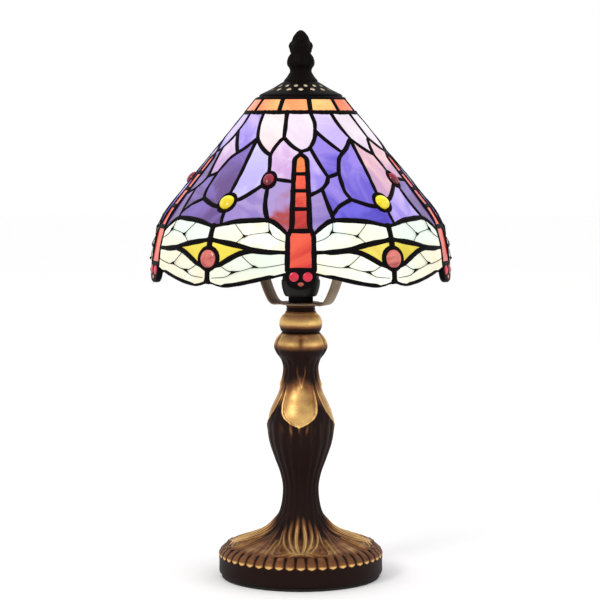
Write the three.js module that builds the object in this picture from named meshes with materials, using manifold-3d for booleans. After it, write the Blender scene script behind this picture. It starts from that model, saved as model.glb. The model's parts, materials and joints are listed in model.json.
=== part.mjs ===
// Table lamp with a leaded glass shade: a cast base, a steel harp, a shade that turns on the harp,
// a finial that screws down over it, and a bulb that screws into the socket.
// Units are millimetres, +Z is up, the origin is the middle of the underside, and the front faces -Y.
// An angle is measured round the lamp from the front, positive towards +X.
import * as THREE from 'three';
import { mergeVertices } from 'three/addons/utils/BufferGeometryUtils.js';
import Module from 'manifold-3d';

const wasm = await Module();
wasm.setup();

// ---- Clearances ----
const restGap = 0.3; // between pieces that rest on each other
const boreGap = 0.3; // round a piece that passes through a hole
const threadGap = 0.25; // between a screw's crests and its shell

// ---- Foot, column and knop (one casting) ----
const feltThickness = 2;
const feltInset = 2.6; // felt edge inside the widest line of the foot
const castingWall = 3;
const footRadius = 55.6; // widest line, over the gadroons
const footWallInset = 1; // plain wall under the gadroons
const footWallHeight = 9.7;
const footRollHeight = 7; // height of the gadroon roll
const footRollDepth = 2.1; // how far the roll's top edge stands in
const waistRadius = 11.7;
const waistHeight = 55.7;
const bellyRadius = 22.8;
const bellyRise = 43.5; // waist to belly
const throatRadius = 10.9;
const throatRise = 38.5; // belly to throat
const knopRadius = 17.6;
const knopRise = 14.5; // throat to knop
const castingTopRadius = 12.9;
const castingTopRise = 9; // knop to the casting's top
const webHeight = 18.2; // underside of the cross web that the ballast is clamped to
const webThickness = 3;
const webInset = 15.6; // web's buried edge inside the widest line of the foot

// ---- Ring and collar over the casting ----
const neckRingHeight = 14.2;
const neckRingRadius = 14.2;
const neckRingTopRadius = 10.2;
const collarHeight = 3.7;
const collarRadius = 9.6;

// ---- Threaded pipe that clamps the stack, and its fastenings ----
const pipeRadius = 5;
const pipeBore = 3.5;
const pipeReach = 4.4; // thread standing into the socket base
const ballastThickness = 8;
const ballastInset = 17.6; // inside the widest line of the foot
const ballastBore = 12;
const washerRadius = 15;
const washerThickness = 1.5;
const nutThickness = 4.5;
const nutCornerRadius = 9.4;
const locknutThickness = 3.5;

// ---- Cord bushing at the back of the foot ----
const bushingRadius = 3.2;
const bushingBore = 2.2;
const bushingFlange = 4.2;
const bushingFlangeThickness = 1.5;
const bushingLength = 9;

// ---- Harp ----
const harpHeight = 146.1;
const harpHalfWidth = 32;
const harpTopHalfWidth = 6.4;
const harpStrapWidth = 14.5;
const harpStrapThickness = 1.5;
const harpDiscRadius = 13.5;
const harpTurn = -26; // the right arm comes towards the front
const studRadius = 3;
const studHeadRadius = 5;
const studHeadThickness = 2;
const studStand = 7; // thread standing over the cap

// ---- Socket ----
const socketRadius = 12.8;
const socketWall = 1.3;
const socketBaseHeight = 12.1;
const socketSleeveHeight = 29.7;
const socketFloorThickness = 5.4;
const shellBore = 7.1;
const shellWall = 0.4;
const shellHeight = 22;
const contactRadius = 3;
const contactThickness = 2;

// ---- Bulb ----
const bulbTipRadius = 2.5;
const bulbTipHeight = 1.3;
const bulbCapHeight = 22.1;
const bulbRadius = 22.5;
const bulbNeckRadius = 8.2;
const bulbNeckHeight = 8;
const bulbNeckRoll = 2;
const bulbNeckStraight = 3;
const bulbGlobeSteps = 6;
const bulbWall = 1;
const filamentHeight = 27;
const filamentRadius = 3;

// ---- Shade ----
const shadeDrop = 119.7; // top edge to the rim line
const shadeTopRadius = 28.8;
const shadeRimRadius = 100.3;
const shadeBandHeight = 9.7; // narrow band of glass under the top edge
const shoulderInset = 13.8; // the straight cone ends this far inside the rim line
const shoulderHeight = 49.1;
const kneeDrop = 13.7; // how far the cone's line runs on to the curve's corner
const skirtInset = 1.1; // the curve ends this far inside the rim line
const skirtHeight = 15;
const glassThickness = 2.6;
const leadProud = 0.8; // how far the lead stands over the glass, each side
const leadWidth = 2;
const ringLeadWidth = 2.4;
const bandPieces = 11;
const bandFirstLine = 10; // angle of one line between band pieces
const unitCount = 5; // repeats of the dragonfly pattern round the shade
const jewelRadius = 5.6;
const jewelRise = 3.2;
const jewelLeadWidth = 1.6;

// ---- Shade cap ----
const capDepth = 10.4;
const capWall = 1.2;
const capCrownMargin = 1.2; // flat crown past the corners of the harp's top
const capLipInset = 1.4; // inside the shade's top edge
const capLipHeight = 3.5; // rolled lip, from its underside to the bell
const capLipRoll = 2.4; // how far the lip stands out past the bell
const capSpigotDepth = 2.9; // spigot that centres the cap in the shade
const capSpigotWall = 1;
const capHoleCount = 13;
const capHoleRadius = 2.1;
const capHoleInset = 7.4; // middle of the holes inside the lip

// ---- Finial ----
const finialHeight = 33.2;
const finialRadius = 9.9;
const insertRadius = 4.2;
const insertHeight = 10.5;

// ---- Fineness of round work ----
const roundSides = 16;
const fineSides = 20;
const smallSides = 12;
const cutOvershoot = 1;
const largeSides = 26;
const shadeSides = 25;
const holeSides = 6;

// ---- Sizes and heights that follow from the ones above ----
const bellyHeight = waistHeight + bellyRise;
const throatHeight = bellyHeight + throatRise;
const knopHeight = throatHeight + knopRise;
const castingHeight = knopHeight + castingTopRise;
const webRadius = footRadius - webInset;
const ballastRadius = footRadius - ballastInset;
const shoulderRadius = shadeRimRadius - shoulderInset;
const skirtRadius = shadeRimRadius - skirtInset;
const harpCornerReach = Math.hypot(harpTopHalfWidth + harpStrapThickness / 2, harpStrapWidth / 2);
const capCrownRadius = harpCornerReach + capCrownMargin;
const capLipRadius = shadeTopRadius - capLipInset;
const capShoulderRadius = capLipRadius - capLipRoll;
const capShoulderDrop = capDepth - capLipHeight;
const capHoleCircle = capLipRadius - capHoleInset;
const castingBottom = feltThickness + restGap;
const castingTop = castingBottom + castingHeight;
const neckRingBottom = castingTop + restGap;
const collarBottom = neckRingBottom + neckRingHeight + restGap;
const harpBottom = collarBottom + collarHeight + restGap;
const harpTop = harpBottom + harpHeight;
const locknutBottom = harpBottom + harpStrapThickness + restGap;
const socketBottom = locknutBottom + locknutThickness + restGap;
const sleeveBottom = socketBottom + socketBaseHeight + restGap;
const contactBottom = sleeveBottom + socketFloorThickness + restGap;
const bulbTipBottom = contactBottom + contactThickness + restGap;
const bulbCapBottom = bulbTipBottom + bulbTipHeight + restGap;
const bulbGlassBottom = bulbCapBottom + bulbCapHeight + restGap;
const capTop = harpTop + restGap + capWall;
const shadeTop = capTop - capDepth - restGap;
const rimHeight = shadeTop - shadeDrop;
const finialBottom = capTop + restGap;
const webBottom = castingBottom + webHeight;
const ballastBottom = webBottom - restGap - ballastThickness;
const washerBottom = ballastBottom - restGap - washerThickness;
const nutBottom = washerBottom - restGap - nutThickness;

const lamp = new THREE.Group();
const finishes = makeFinishes();

function makeFinishes() {
  const finish = (color, roughness, metalness, opacity = 1) =>
    new THREE.MeshStandardMaterial({ color, roughness, metalness, opacity, transparent: opacity < 1 });
  return {
    felt: finish(0x2c3a2a, 0.95, 0),
    bronze: finish(0x3b2619, 0.45, 0.8),
    iron: finish(0x3a3a3c, 0.8, 0.6),
    steel: finish(0x9a9a98, 0.4, 0.9),
    brass: finish(0xb08d4a, 0.35, 0.9),
    phenolic: finish(0x17120f, 0.5, 0),
    lead: finish(0x1d1518, 0.5, 0.7),
    bandGlass: finish(0xf3a050, 0.25, 0, 0.9),
    fieldGlass: finish(0x8f7ae0, 0.25, 0, 0.9),
    bodyGlass: finish(0xe05028, 0.25, 0, 0.9),
    wingGlass: finish(0xfff3cf, 0.25, 0, 0.9),
    jewelGlass: finish(0xd0706a, 0.15, 0, 0.9),
    bulbGlass: finish(0xfdf6e8, 0.2, 0, 0.8),
  };
}

function place(name, geometry, material) {
  const mesh = new THREE.Mesh(geometry, material);
  mesh.name = name;
  lamp.add(mesh);
}

// ---- Solids ----

function toSolid(geometry) {
  const bare = geometry.clone();
  bare.deleteAttribute('normal');
  bare.deleteAttribute('uv');
  const merged = mergeVertices(bare, 1e-4);
  const corners = [];
  for (let i = 0; i < merged.index.count; i += 3) {
    const [a, b, c] = [0, 1, 2].map((k) => merged.index.getX(i + k));
    if (a !== b && b !== c && c !== a) corners.push(a, b, c);
  }
  const mesh = new wasm.Mesh({
    numProp: 3,
    vertProperties: new Float32Array(merged.attributes.position.array),
    triVerts: new Uint32Array(corners),
  });
  mesh.merge();
  return new wasm.Manifold(mesh);
}

function toGeometry(solid) {
  const mesh = solid.getMesh();
  const geometry = new THREE.BufferGeometry();
  geometry.setAttribute('position', new THREE.BufferAttribute(mesh.vertProperties, 3));
  geometry.setIndex(new THREE.BufferAttribute(mesh.triVerts, 1));
  return geometry;
}

// Turns the faces of a closed shape outwards if they point in.
function facingOut(geometry) {
  const position = geometry.attributes.position;
  const index = geometry.index;
  const [a, b, c] = [new THREE.Vector3(), new THREE.Vector3(), new THREE.Vector3()];
  let volume = 0;
  for (let i = 0; i < index.count; i += 3) {
    a.fromBufferAttribute(position, index.getX(i));
    b.fromBufferAttribute(position, index.getX(i + 1));
    c.fromBufferAttribute(position, index.getX(i + 2));
    volume += a.dot(b.cross(c));
  }
  if (volume < 0) {
    for (let i = 0; i < index.count; i += 3) {
      const kept = index.getX(i);
      index.setX(i, index.getX(i + 2));
      index.setX(i + 2, kept);
    }
  }
  return geometry;
}

// A turned solid from [radius, height] points.
// A ring's outline is closed; a full body starts and ends on the axis.
function turned(outline, sides = roundSides) {
  const onAxis = outline[0][0] === 0 && outline.at(-1)[0] === 0;
  const closed = onAxis ? outline : [...outline, outline[0]];
  const points = closed.map(([radius, height]) => new THREE.Vector2(radius, height));
  return facingOut(new THREE.LatheGeometry(points, sides).rotateX(Math.PI / 2));
}

function ring(inner, outer, low, high, sides = roundSides) {
  return turned([[inner, low], [outer, low], [outer, high], [inner, high]], sides);
}

function rod(radius, low, high, sides = roundSides) {
  return turned([[0, low], [radius, low], [radius, high], [0, high]], sides);
}

function hexNut(cornerRadius, bore, low, high) {
  const blank = toSolid(rod(cornerRadius, low, high, 6));
  return toGeometry(blank.subtract(toSolid(rod(bore, low - 1, high + 1))));
}

// The line that runs beside a polyline of [x, y] points, to its right where distance is positive.
function besideLine(points, distance, closed = false) {
  const count = points.length;
  return points.map(([x, y], i) => {
    const before = points[closed ? (i + count - 1) % count : Math.max(i - 1, 0)];
    const after = points[closed ? (i + 1) % count : Math.min(i + 1, count - 1)];
    const normals = [[before, [x, y]], [[x, y], after]]
      .map(([p, q]) => new THREE.Vector2(q[1] - p[1], p[0] - q[0]))
      .filter((n) => n.length() > 1e-9)
      .map((n) => n.normalize());
    const middle = normals.reduce((sum, n) => sum.add(n), new THREE.Vector2()).normalize();
    const lastNormal = normals.at(-1);
    const reach = distance / middle.dot(lastNormal);
    return [x + middle.x * reach, y + middle.y * reach];
  });
}

// ---- Base ----

// Outline values that ease from one station to the next, flat at both ends.
function eased(from, to, steps) {
  const points = [];
  for (let i = 1; i <= steps; i++) {
    const share = (1 - Math.cos((Math.PI * i) / steps)) / 2;
    points.push([from[0] + (to[0] - from[0]) * share, from[1] + ((to[1] - from[1]) * i) / steps]);
  }
  return points;
}

function bezier(corners, steps) {
  const curve = new THREE.CubicBezierCurve(...corners.map(([x, y]) => new THREE.Vector2(x, y)));
  return curve.getPoints(steps).map((p) => [p.x, p.y]);
}

function castingOutline() {
  const wallRadius = footRadius - footWallInset;
  const rollTop = footWallHeight + footRollHeight;
  const sweep = (footRadius - waistRadius) * 0.4;
  const foot = [
    [wallRadius - 1.2, 0],
    [wallRadius, 1.7],
    [wallRadius, footWallHeight],
    [footRadius, footWallHeight + 1.5],
    [footRadius, footWallHeight + 3.5],
  ];
  const trumpet = bezier([
    [footRadius - footRollDepth, rollTop],
    [waistRadius + sweep * 1.5, rollTop + 9],
    [waistRadius, rollTop + 7],
    [waistRadius, waistHeight],
  ], 6);
  const column = [
    ...eased([waistRadius, waistHeight], [bellyRadius, bellyHeight], 4),
    ...eased([bellyRadius, bellyHeight], [throatRadius, throatHeight], 5),
    ...eased([throatRadius, throatHeight], [knopRadius, knopHeight], 3),
  ];
  const crown = [0.5, 1].map((share) => [
    castingTopRadius + (knopRadius - castingTopRadius) * Math.cos((share * Math.PI) / 2),
    knopHeight + (castingHeight - knopHeight) * share,
  ]);
  const whole = [...foot, ...trumpet, ...column, ...crown];
  return whole.map(([radius, height]) => [radius, castingBottom + height]);
}

function makeBaseCasting() {
  const outside = castingOutline();
  const top = castingTop - castingWall;
  // every second point is enough for the rough inner side
  const inside = besideLine(outside, -castingWall)
    .filter(([, height], i) => i % 2 === 0 && height > castingBottom && height < top)
    .reverse();
  const floorEdge = [inside.at(-1)[0], castingBottom];
  const roof = [inside[0][0], top];
  const bore = pipeRadius + boreGap;
  const profile = [...outside, [bore, castingTop], [bore, top], roof, ...inside, floorEdge];
  const skin = turned(profile, largeSides);
  const web = ring(bore, webRadius, webBottom, webBottom + webThickness, largeSides);
  const holeStart = footRadius - bushingLength * 2;
  const holeEnd = footRadius + cutOvershoot;
  const bushingHole = alongBack(rod(bushingRadius + boreGap, holeStart, holeEnd));
  const casting = toSolid(skin).add(toSolid(web)).subtract(toSolid(bushingHole));
  place('base_casting', toGeometry(casting), finishes.bronze);
}

// Lays a turned piece along +Y at the bushing's height, its axis running out through the back of the foot.
function alongBack(geometry) {
  return geometry.rotateX(-Math.PI / 2).translate(0, 0, castingBottom + footWallHeight / 2 + 0.5);
}

function makeBase() {
  makeBaseCasting();
  place('felt_pad', rod(footRadius - feltInset, 0, feltThickness, largeSides), finishes.felt);
  place('ballast_ring', ring(ballastBore, ballastRadius, ballastBottom, ballastBottom + ballastThickness),
    finishes.iron);

  const bore = pipeRadius + boreGap;
  place('bottom_washer', ring(bore, washerRadius, washerBottom, washerBottom + washerThickness),
    finishes.steel);
  place('bottom_nut', hexNut(nutCornerRadius, bore, nutBottom, nutBottom + nutThickness), finishes.steel);

  const seat = footRadius - footWallInset + restGap;
  const bushing = turned([
    [bushingBore, seat - bushingLength],
    [bushingRadius, seat - bushingLength],
    [bushingRadius, seat],
    [bushingFlange, seat],
    [bushingFlange, seat + bushingFlangeThickness],
    [bushingBore, seat + bushingFlangeThickness],
  ], 16);
  place('cord_bushing', alongBack(bushing), finishes.phenolic);
}

function makeNeck() {
  const bore = pipeRadius + boreGap;
  const swell = eased([castingTopRadius, 0], [neckRingRadius, neckRingHeight * 0.42], 3);
  const fall = eased([neckRingRadius, neckRingHeight * 0.42], [neckRingTopRadius, neckRingHeight], 4);
  const outline = [[castingTopRadius, 0], ...swell, ...fall, [bore, neckRingHeight], [bore, 0]];
  place('neck_ring', turned(outline.map(([r, z]) => [r, z + neckRingBottom]), fineSides), finishes.bronze);
  place('pipe_collar', ring(bore, collarRadius, collarBottom, collarBottom + collarHeight), finishes.brass);
  place('lamp_pipe', ring(pipeBore, pipeRadius, nutBottom - 1, socketBottom + pipeReach), finishes.steel);
}

// ---- Harp ----

// One arm's centre line up to its flat top, as shares of the harp's half width and of its height.
const harpArm = [
  [0.61, 0],
  [0.84, 0.118],
  [0.97, 0.27],
  [1, 0.463],
  [0.91, 0.705],
  [0.69, 0.844],
  [0.4, 0.947],
];

function makeHarp() {
  const reach = harpHeight - harpStrapThickness;
  const arm = harpArm.map(([x, y]) => new THREE.Vector2(x * harpHalfWidth, y * reach));
  const bend = new THREE.SplineCurve([...arm, new THREE.Vector2(harpTopHalfWidth, reach)]);
  const right = bend.getPoints(14).map((p) => [p.x, p.y]);
  const left = right.map(([x, y]) => [-x, y]).reverse();
  const centreLine = [...right, ...left];
  const [outer, inner] = [0.5, -0.5].map((side) => besideLine(centreLine, side * harpStrapThickness, true));
  const shape = new THREE.Shape(outer.map(([x, y]) => new THREE.Vector2(x, y)));
  shape.holes.push(new THREE.Path(inner.map(([x, y]) => new THREE.Vector2(x, y))));
  const strap = new THREE.ExtrudeGeometry(shape, { depth: harpStrapWidth, bevelEnabled: false, steps: 1 })
    .translate(0, 0, -harpStrapWidth / 2)
    .rotateX(Math.PI / 2)
    .rotateZ(THREE.MathUtils.degToRad(harpTurn))
    .translate(0, 0, harpBottom + harpStrapThickness / 2);
  const disc = rod(harpDiscRadius, harpBottom, harpBottom + harpStrapThickness, fineSides);
  const pipeHole = rod(pipeRadius + boreGap, harpBottom - 1, harpBottom + harpStrapThickness + 1);
  const studHole = rod(studRadius + boreGap, harpTop - harpStrapThickness - 1, harpTop + 1);
  const harp = toSolid(strap).add(toSolid(disc)).subtract(toSolid(pipeHole)).subtract(toSolid(studHole));
  place('harp', toGeometry(harp), finishes.bronze);

  const seat = harpTop - harpStrapThickness - restGap;
  place('harp_stud', turned([
    [0, seat - studHeadThickness],
    [studHeadRadius, seat - studHeadThickness],
    [studHeadRadius, seat],
    [studRadius, seat],
    [studRadius, capTop + studStand],
    [0, capTop + studStand],
  ]), finishes.brass);
  const locknutTop = locknutBottom + locknutThickness;
  place('harp_locknut', hexNut(nutCornerRadius, pipeRadius + boreGap, locknutBottom, locknutTop),
    finishes.steel);
}

// ---- Socket ----

function makeSocket() {
  const bore = pipeRadius + boreGap;
  const top = socketBottom + socketBaseHeight;
  const bowl = [
    [socketRadius * 0.59, socketBottom],
    [socketRadius * 0.82, socketBottom + socketBaseHeight * 0.17],
    [socketRadius * 0.97, socketBottom + socketBaseHeight * 0.54],
    [socketRadius, top],
  ];
  const hollow = [
    [socketRadius - socketWall, top],
    [socketRadius - socketWall * 2.5, socketBottom + 3.6],
    [bore, socketBottom + 2.6],
  ];
  place('socket_base', turned([[bore, socketBottom], ...bowl, ...hollow], fineSides), finishes.phenolic);

  const floorTop = sleeveBottom + socketFloorThickness;
  const sleeveTop = sleeveBottom + socketSleeveHeight;
  place('socket_sleeve', turned([
    [1.5, sleeveBottom],
    [socketRadius, sleeveBottom],
    [socketRadius, sleeveTop],
    [socketRadius - socketWall, sleeveTop],
    [socketRadius - socketWall, floorTop],
    [1.5, floorTop],
  ], fineSides), finishes.phenolic);
  place('socket_contact', rod(contactRadius, contactBottom, contactBottom + contactThickness),
    finishes.brass);
  const shellTop = contactBottom + shellHeight;
  place('socket_screw_shell', ring(shellBore, shellBore + shellWall, contactBottom, shellTop, fineSides),
    finishes.brass);
}

// ---- Bulb ----

function bulbOutline(inset) {
  const radius = bulbRadius - inset;
  const neckFlare = bulbNeckRadius + bulbNeckRoll;
  const centre = bulbGlassBottom + bulbNeckHeight + Math.sqrt(bulbRadius ** 2 - neckFlare ** 2);
  const start = Math.asin(neckFlare / bulbRadius);
  const globe = [];
  for (let i = 0; i <= bulbGlobeSteps; i++) {
    const angle = start + ((Math.PI - start) * i) / bulbGlobeSteps;
    const across = i === bulbGlobeSteps ? 0 : radius * Math.sin(angle);
    globe.push([across, centre - radius * Math.cos(angle)]);
  }
  const foot = bulbGlassBottom - (inset > 0 ? cutOvershoot : 0);
  const neck = bulbNeckRadius - inset;
  return [[0, foot], [neck, foot], [neck, bulbGlassBottom + bulbNeckStraight], ...globe];
}

function makeBulb() {
  const capRadius = shellBore - threadGap;
  place('bulb_contact', rod(bulbTipRadius, bulbTipBottom, bulbTipBottom + bulbTipHeight, smallSides),
    finishes.brass);
  place('bulb_base', turned([
    [0, bulbCapBottom],
    [capRadius * 0.66, bulbCapBottom],
    [capRadius, bulbCapBottom + 3],
    [capRadius, bulbCapBottom + bulbCapHeight - 3],
    [bulbNeckRadius, bulbCapBottom + bulbCapHeight - 0.6],
    [bulbNeckRadius, bulbCapBottom + bulbCapHeight],
    [0, bulbCapBottom + bulbCapHeight],
  ], fineSides), finishes.brass);
  const whole = toSolid(turned(bulbOutline(0), fineSides));
  const hollow = toSolid(turned(bulbOutline(bulbWall), fineSides));
  place('bulb_glass', toGeometry(whole.subtract(hollow)), finishes.bulbGlass);
  place('bulb_filament', turned([
    [0, bulbGlassBottom],
    [filamentRadius, bulbGlassBottom],
    [filamentRadius * 0.4, bulbGlassBottom + filamentHeight * 0.5],
    [filamentRadius, bulbGlassBottom + filamentHeight * 0.8],
    [filamentRadius, bulbGlassBottom + filamentHeight],
    [0, bulbGlassBottom + filamentHeight],
  ], 8), finishes.steel);
}

// ---- Shade form ----

const coneSlope = (shoulderRadius - shadeTopRadius) / (shadeDrop - shoulderHeight);

// The outer surface from below the rim line to the top edge, as [radius, height over the rim line].
function shadeOutline() {
  const knee = [shoulderRadius + coneSlope * kneeDrop, shoulderHeight - kneeDrop];
  const curve = new THREE.QuadraticBezierCurve(
    new THREE.Vector2(skirtRadius, skirtHeight),
    new THREE.Vector2(...knee),
    new THREE.Vector2(shoulderRadius, shoulderHeight),
  );
  const lowest = -4;
  const skirtSlope = (shadeRimRadius - skirtRadius) / skirtHeight;
  const curved = curve.getPoints(2).map((p) => [p.x, p.y]);
  return [[shadeRimRadius - skirtSlope * lowest, lowest], ...curved, [shadeTopRadius, shadeDrop]];
}

const outline = shadeOutline();

// Radius of the outer surface, and how fast it shrinks with height, at a height over the rim line.
function surfaceAt(height) {
  const after = Math.max(1, outline.findIndex(([, level]) => level >= height));
  const upper = height > outline.at(-1)[1] ? outline.length - 1 : after;
  const [low, high] = [outline[upper - 1], outline[upper]];
  const slope = (low[0] - high[0]) / (high[1] - low[1]);
  return { radius: low[0] - slope * (height - low[1]), slope };
}

// A closed shell that follows the shade, between two distances from the outer surface.
function shadeShell(outward, inward) {
  const layer = (distance) => {
    const line = besideLine(outline, distance);
    const level = (end, edge) => {
      const { slope } = surfaceAt(edge);
      return [outline.at(end)[0] + distance * Math.sqrt(1 + slope * slope), edge];
    };
    line[0] = level(0, outline[0][1]);
    line[line.length - 1] = level(-1, shadeDrop);
    return line;
  };
  const section = [...layer(outward), ...layer(-inward).reverse()];
  return toSolid(turned(section.map(([r, z]) => [r, z + rimHeight]), shadeSides));
}

// ---- Leading ----
// The cartoon is drawn as [angle, height] points. Its height of 110 runs from the rim line to the band,
// and one unit of it, 72 degrees wide, has a dragonfly's body at its middle line.

const unitAngle = 360 / unitCount;
const cartoonWidth = 72;
const cartoonHeight = 110;
const fieldDrop = shadeDrop - shadeBandHeight;

const splitLine = [[0, 82], [6.2, 87.2], [11.4, 98], [9.7, 111]];
const bodyRight = [[3.4, 79], [3.4, 40], [4.9, 33.5], [4.9, 12]];
const wingTop = [[4.5, 33.5], [12.6, 42.8], [26.5, 41.6], [36, 39.6]];
const forkTop = [[18, 24.1], [26, 28.8], [36, 32.6]];
const forkBottom = [[18, 23.7], [22.5, 22.3], [31, 14.5]];
const rimLine = [[4.5, 10.8], [14, 6.8], [24, 3], [30, 2], [36, 4.5]];
const headShield = [[4.9, 12], [5.4, 6], [3, 0.8], [0, -0.2]];
const jewelPlace = [36, 18];

const mirrored = (points) => points.map(([angle, height]) => [cartoonWidth - angle, height]).reverse();
const acrossGap = (points) => [...points, ...mirrored(points.slice(0, -1))];
const acrossFork = (points) => [...points, ...mirrored(points)];
const acrossBody = (points) => {
  const left = points.filter(([angle]) => angle > 0).map(([angle, height]) => [-angle, height]);
  return [...points, ...left.reverse()];
};

// A cartoon point on the shade: its place, the outward direction there, and its height over the rim line.
function onShade([angle, height], unit) {
  const turn = THREE.MathUtils.degToRad((angle * unitAngle) / cartoonWidth + unit * unitAngle);
  const level = (height * fieldDrop) / cartoonHeight;
  const { radius, slope } = surfaceAt(level);
  const place = new THREE.Vector3(radius * Math.sin(turn), -radius * Math.cos(turn), level + rimHeight);
  const outward = new THREE.Vector3(Math.sin(turn), -Math.cos(turn), slope).normalize();
  return { place, outward };
}

const cutDepth = glassThickness + 3;

// A strip of even width that follows cartoon points and passes through the shade's wall.
function strip(points, width, unit, closed = false) {
  const spots = points.map((point) => onShade(point, unit));
  const count = spots.length;
  const across = (from, to, outward) => to.clone().sub(from).cross(outward).normalize();
  const corners = spots.map(({ place, outward }, i) => {
    const before = closed ? spots[(i + count - 1) % count] : spots[i - 1];
    const after = closed ? spots[(i + 1) % count] : spots[i + 1];
    const sides = [];
    if (before) sides.push(across(before.place, place, outward));
    if (after) sides.push(across(place, after.place, outward));
    const middle = sides.reduce((sum, side) => sum.add(side), new THREE.Vector3()).normalize();
    const reach = width / 2 / Math.max(middle.dot(sides[0]), 0.5);
    return [[1, 1], [1, -1], [-1, -1], [-1, 1]].map(([side, depth]) =>
      place.clone().addScaledVector(middle, side * reach).addScaledVector(outward, depth * cutDepth));
  });
  const index = [];
  const links = closed ? count : count - 1;
  for (let i = 0; i < links; i++) {
    const [here, next] = [i * 4, ((i + 1) % count) * 4];
    for (let k = 0; k < 4; k++) {
      const l = (k + 1) % 4;
      index.push(here + k, here + l, next + l, here + k, next + l, next + k);
    }
  }
  if (!closed) {
    const last = (count - 1) * 4;
    index.push(0, 2, 1, 0, 3, 2, last, last + 1, last + 2, last, last + 2, last + 3);
  }
  const geometry = new THREE.BufferGeometry().setFromPoints(corners.flat());
  geometry.setIndex(index);
  return toSolid(facingOut(geometry));
}

// A ring round the whole shade between two heights over the rim line.
function shadeRing(low, high) {
  const edge = (level, depth) => {
    const { radius, slope } = surfaceAt(level);
    const lean = Math.hypot(1, slope);
    return [radius + depth / lean, rimHeight + level + (depth * slope) / lean];
  };
  const outline = [edge(low, cutDepth), edge(high, cutDepth), edge(high, -cutDepth), edge(low, -cutDepth)];
  return toSolid(turned(outline, shadeSides));
}

// A prism that passes straight through the shade's wall.
// Its outline is drawn in millimetres about a cartoon point.
function prism(points, centre, unit) {
  const turn = THREE.MathUtils.degToRad((centre[0] * unitAngle) / cartoonWidth + unit * unitAngle);
  const outward = new THREE.Vector3(Math.sin(turn), -Math.cos(turn), 0);
  const right = new THREE.Vector3(Math.cos(turn), Math.sin(turn), 0);
  const start = shadeRimRadius * 0.8;
  const shape = new THREE.Shape(points.map(([x, y]) => new THREE.Vector2(x, y)));
  const geometry = new THREE.ExtrudeGeometry(shape, { depth: shadeRimRadius * 0.4, bevelEnabled: false });
  const placing = new THREE.Matrix4().makeBasis(right, new THREE.Vector3(0, 0, 1), outward);
  placing.setPosition(outward.clone().multiplyScalar(start).setZ(rimHeight));
  return toSolid(facingOut(mergeVertices(geometry.applyMatrix4(placing), 1e-4)));
}

// Cartoon points as flat millimetre points for a prism about a middle angle.
function flattened(points, middle) {
  return points.map(([angle, height]) => {
    const level = (height * fieldDrop) / cartoonHeight;
    const turn = THREE.MathUtils.degToRad(((angle - middle) * unitAngle) / cartoonWidth);
    return [surfaceAt(level).radius * Math.sin(turn), level];
  });
}

function disc(radius, centre, sides = 12) {
  const level = (centre[1] * fieldDrop) / cartoonHeight;
  return Array.from({ length: sides }, (_, i) => {
    const turn = (2 * Math.PI * i) / sides;
    return [radius * Math.cos(turn), level + radius * Math.sin(turn)];
  });
}

// Everything that is lead, grown on each side by a margin, as one solid that passes through the wall.
function leading(margin) {
  const width = leadWidth + 2 * margin;
  const half = ringLeadWidth / 2 + margin;
  const topRing = shadeRing(shadeDrop - ringLeadWidth - margin, shadeDrop + 3);
  const pieces = [topRing, shadeRing(fieldDrop - half, fieldDrop + half)];
  const bandTop = (cartoonHeight * shadeDrop) / fieldDrop;
  for (let i = 0; i < bandPieces; i++) {
    const angle = ((bandFirstLine + (360 * i) / bandPieces) * cartoonWidth) / unitAngle;
    pieces.push(strip([[angle, cartoonHeight], [angle, bandTop]], width, 0));
  }
  const plateEdge = flattened([...acrossGap(forkTop), ...acrossFork(forkBottom).reverse()], jewelPlace[0]);
  const gapPlate = besideLine(plateEdge, -width / 2, true);
  for (let unit = 0; unit < unitCount; unit++) {
    pieces.push(
      strip(splitLine, width, unit),
      strip(acrossBody([[0, 83], ...bodyRight]), width, unit, true),
      strip(acrossGap(wingTop), width, unit),
      strip(acrossGap(rimLine), width, unit),
      strip([[36, 40], [36, 32]], width, unit),
      strip([[36, 12], [36, 4.5]], width, unit),
      prism(gapPlate, jewelPlace, unit),
      prism(disc(jewelRadius + jewelLeadWidth + margin, jewelPlace), jewelPlace, unit),
      prism(flattened(acrossBody(headShield), 0), [0, 0], unit),
    );
  }
  return wasm.Manifold.union(pieces);
}

function makeLead() {
  let lead = shadeShell(leadProud, glassThickness + leadProud).intersect(leading(0));
  for (let unit = 0; unit < unitCount; unit++) {
    lead = lead.subtract(prism(disc(jewelRadius + restGap, jewelPlace), jewelPlace, unit));
  }
  place('shade_lead', toGeometry(lead), finishes.lead);
}

// ---- Glass ----

// The middle of a pane's surface, as its angle round the lamp and its height over the rim line.
function paneMiddle(pane) {
  const { vertProperties, triVerts } = pane.getMesh();
  const middle = new THREE.Vector3();
  let area = 0;
  for (let i = 0; i < triVerts.length; i += 3) {
    const corner = (k) => new THREE.Vector3().fromArray(vertProperties, triVerts[i + k] * 3);
    const [a, b, c] = [0, 1, 2].map(corner);
    const size = new THREE.Triangle(a, b, c).getArea();
    middle.addScaledVector(a.add(b).add(c), size / 3);
    area += size;
  }
  middle.divideScalar(area);
  const angle = THREE.MathUtils.radToDeg(Math.atan2(middle.x, -middle.y));
  return { angle: (angle + 360) % 360, level: middle.z - rimHeight };
}

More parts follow.
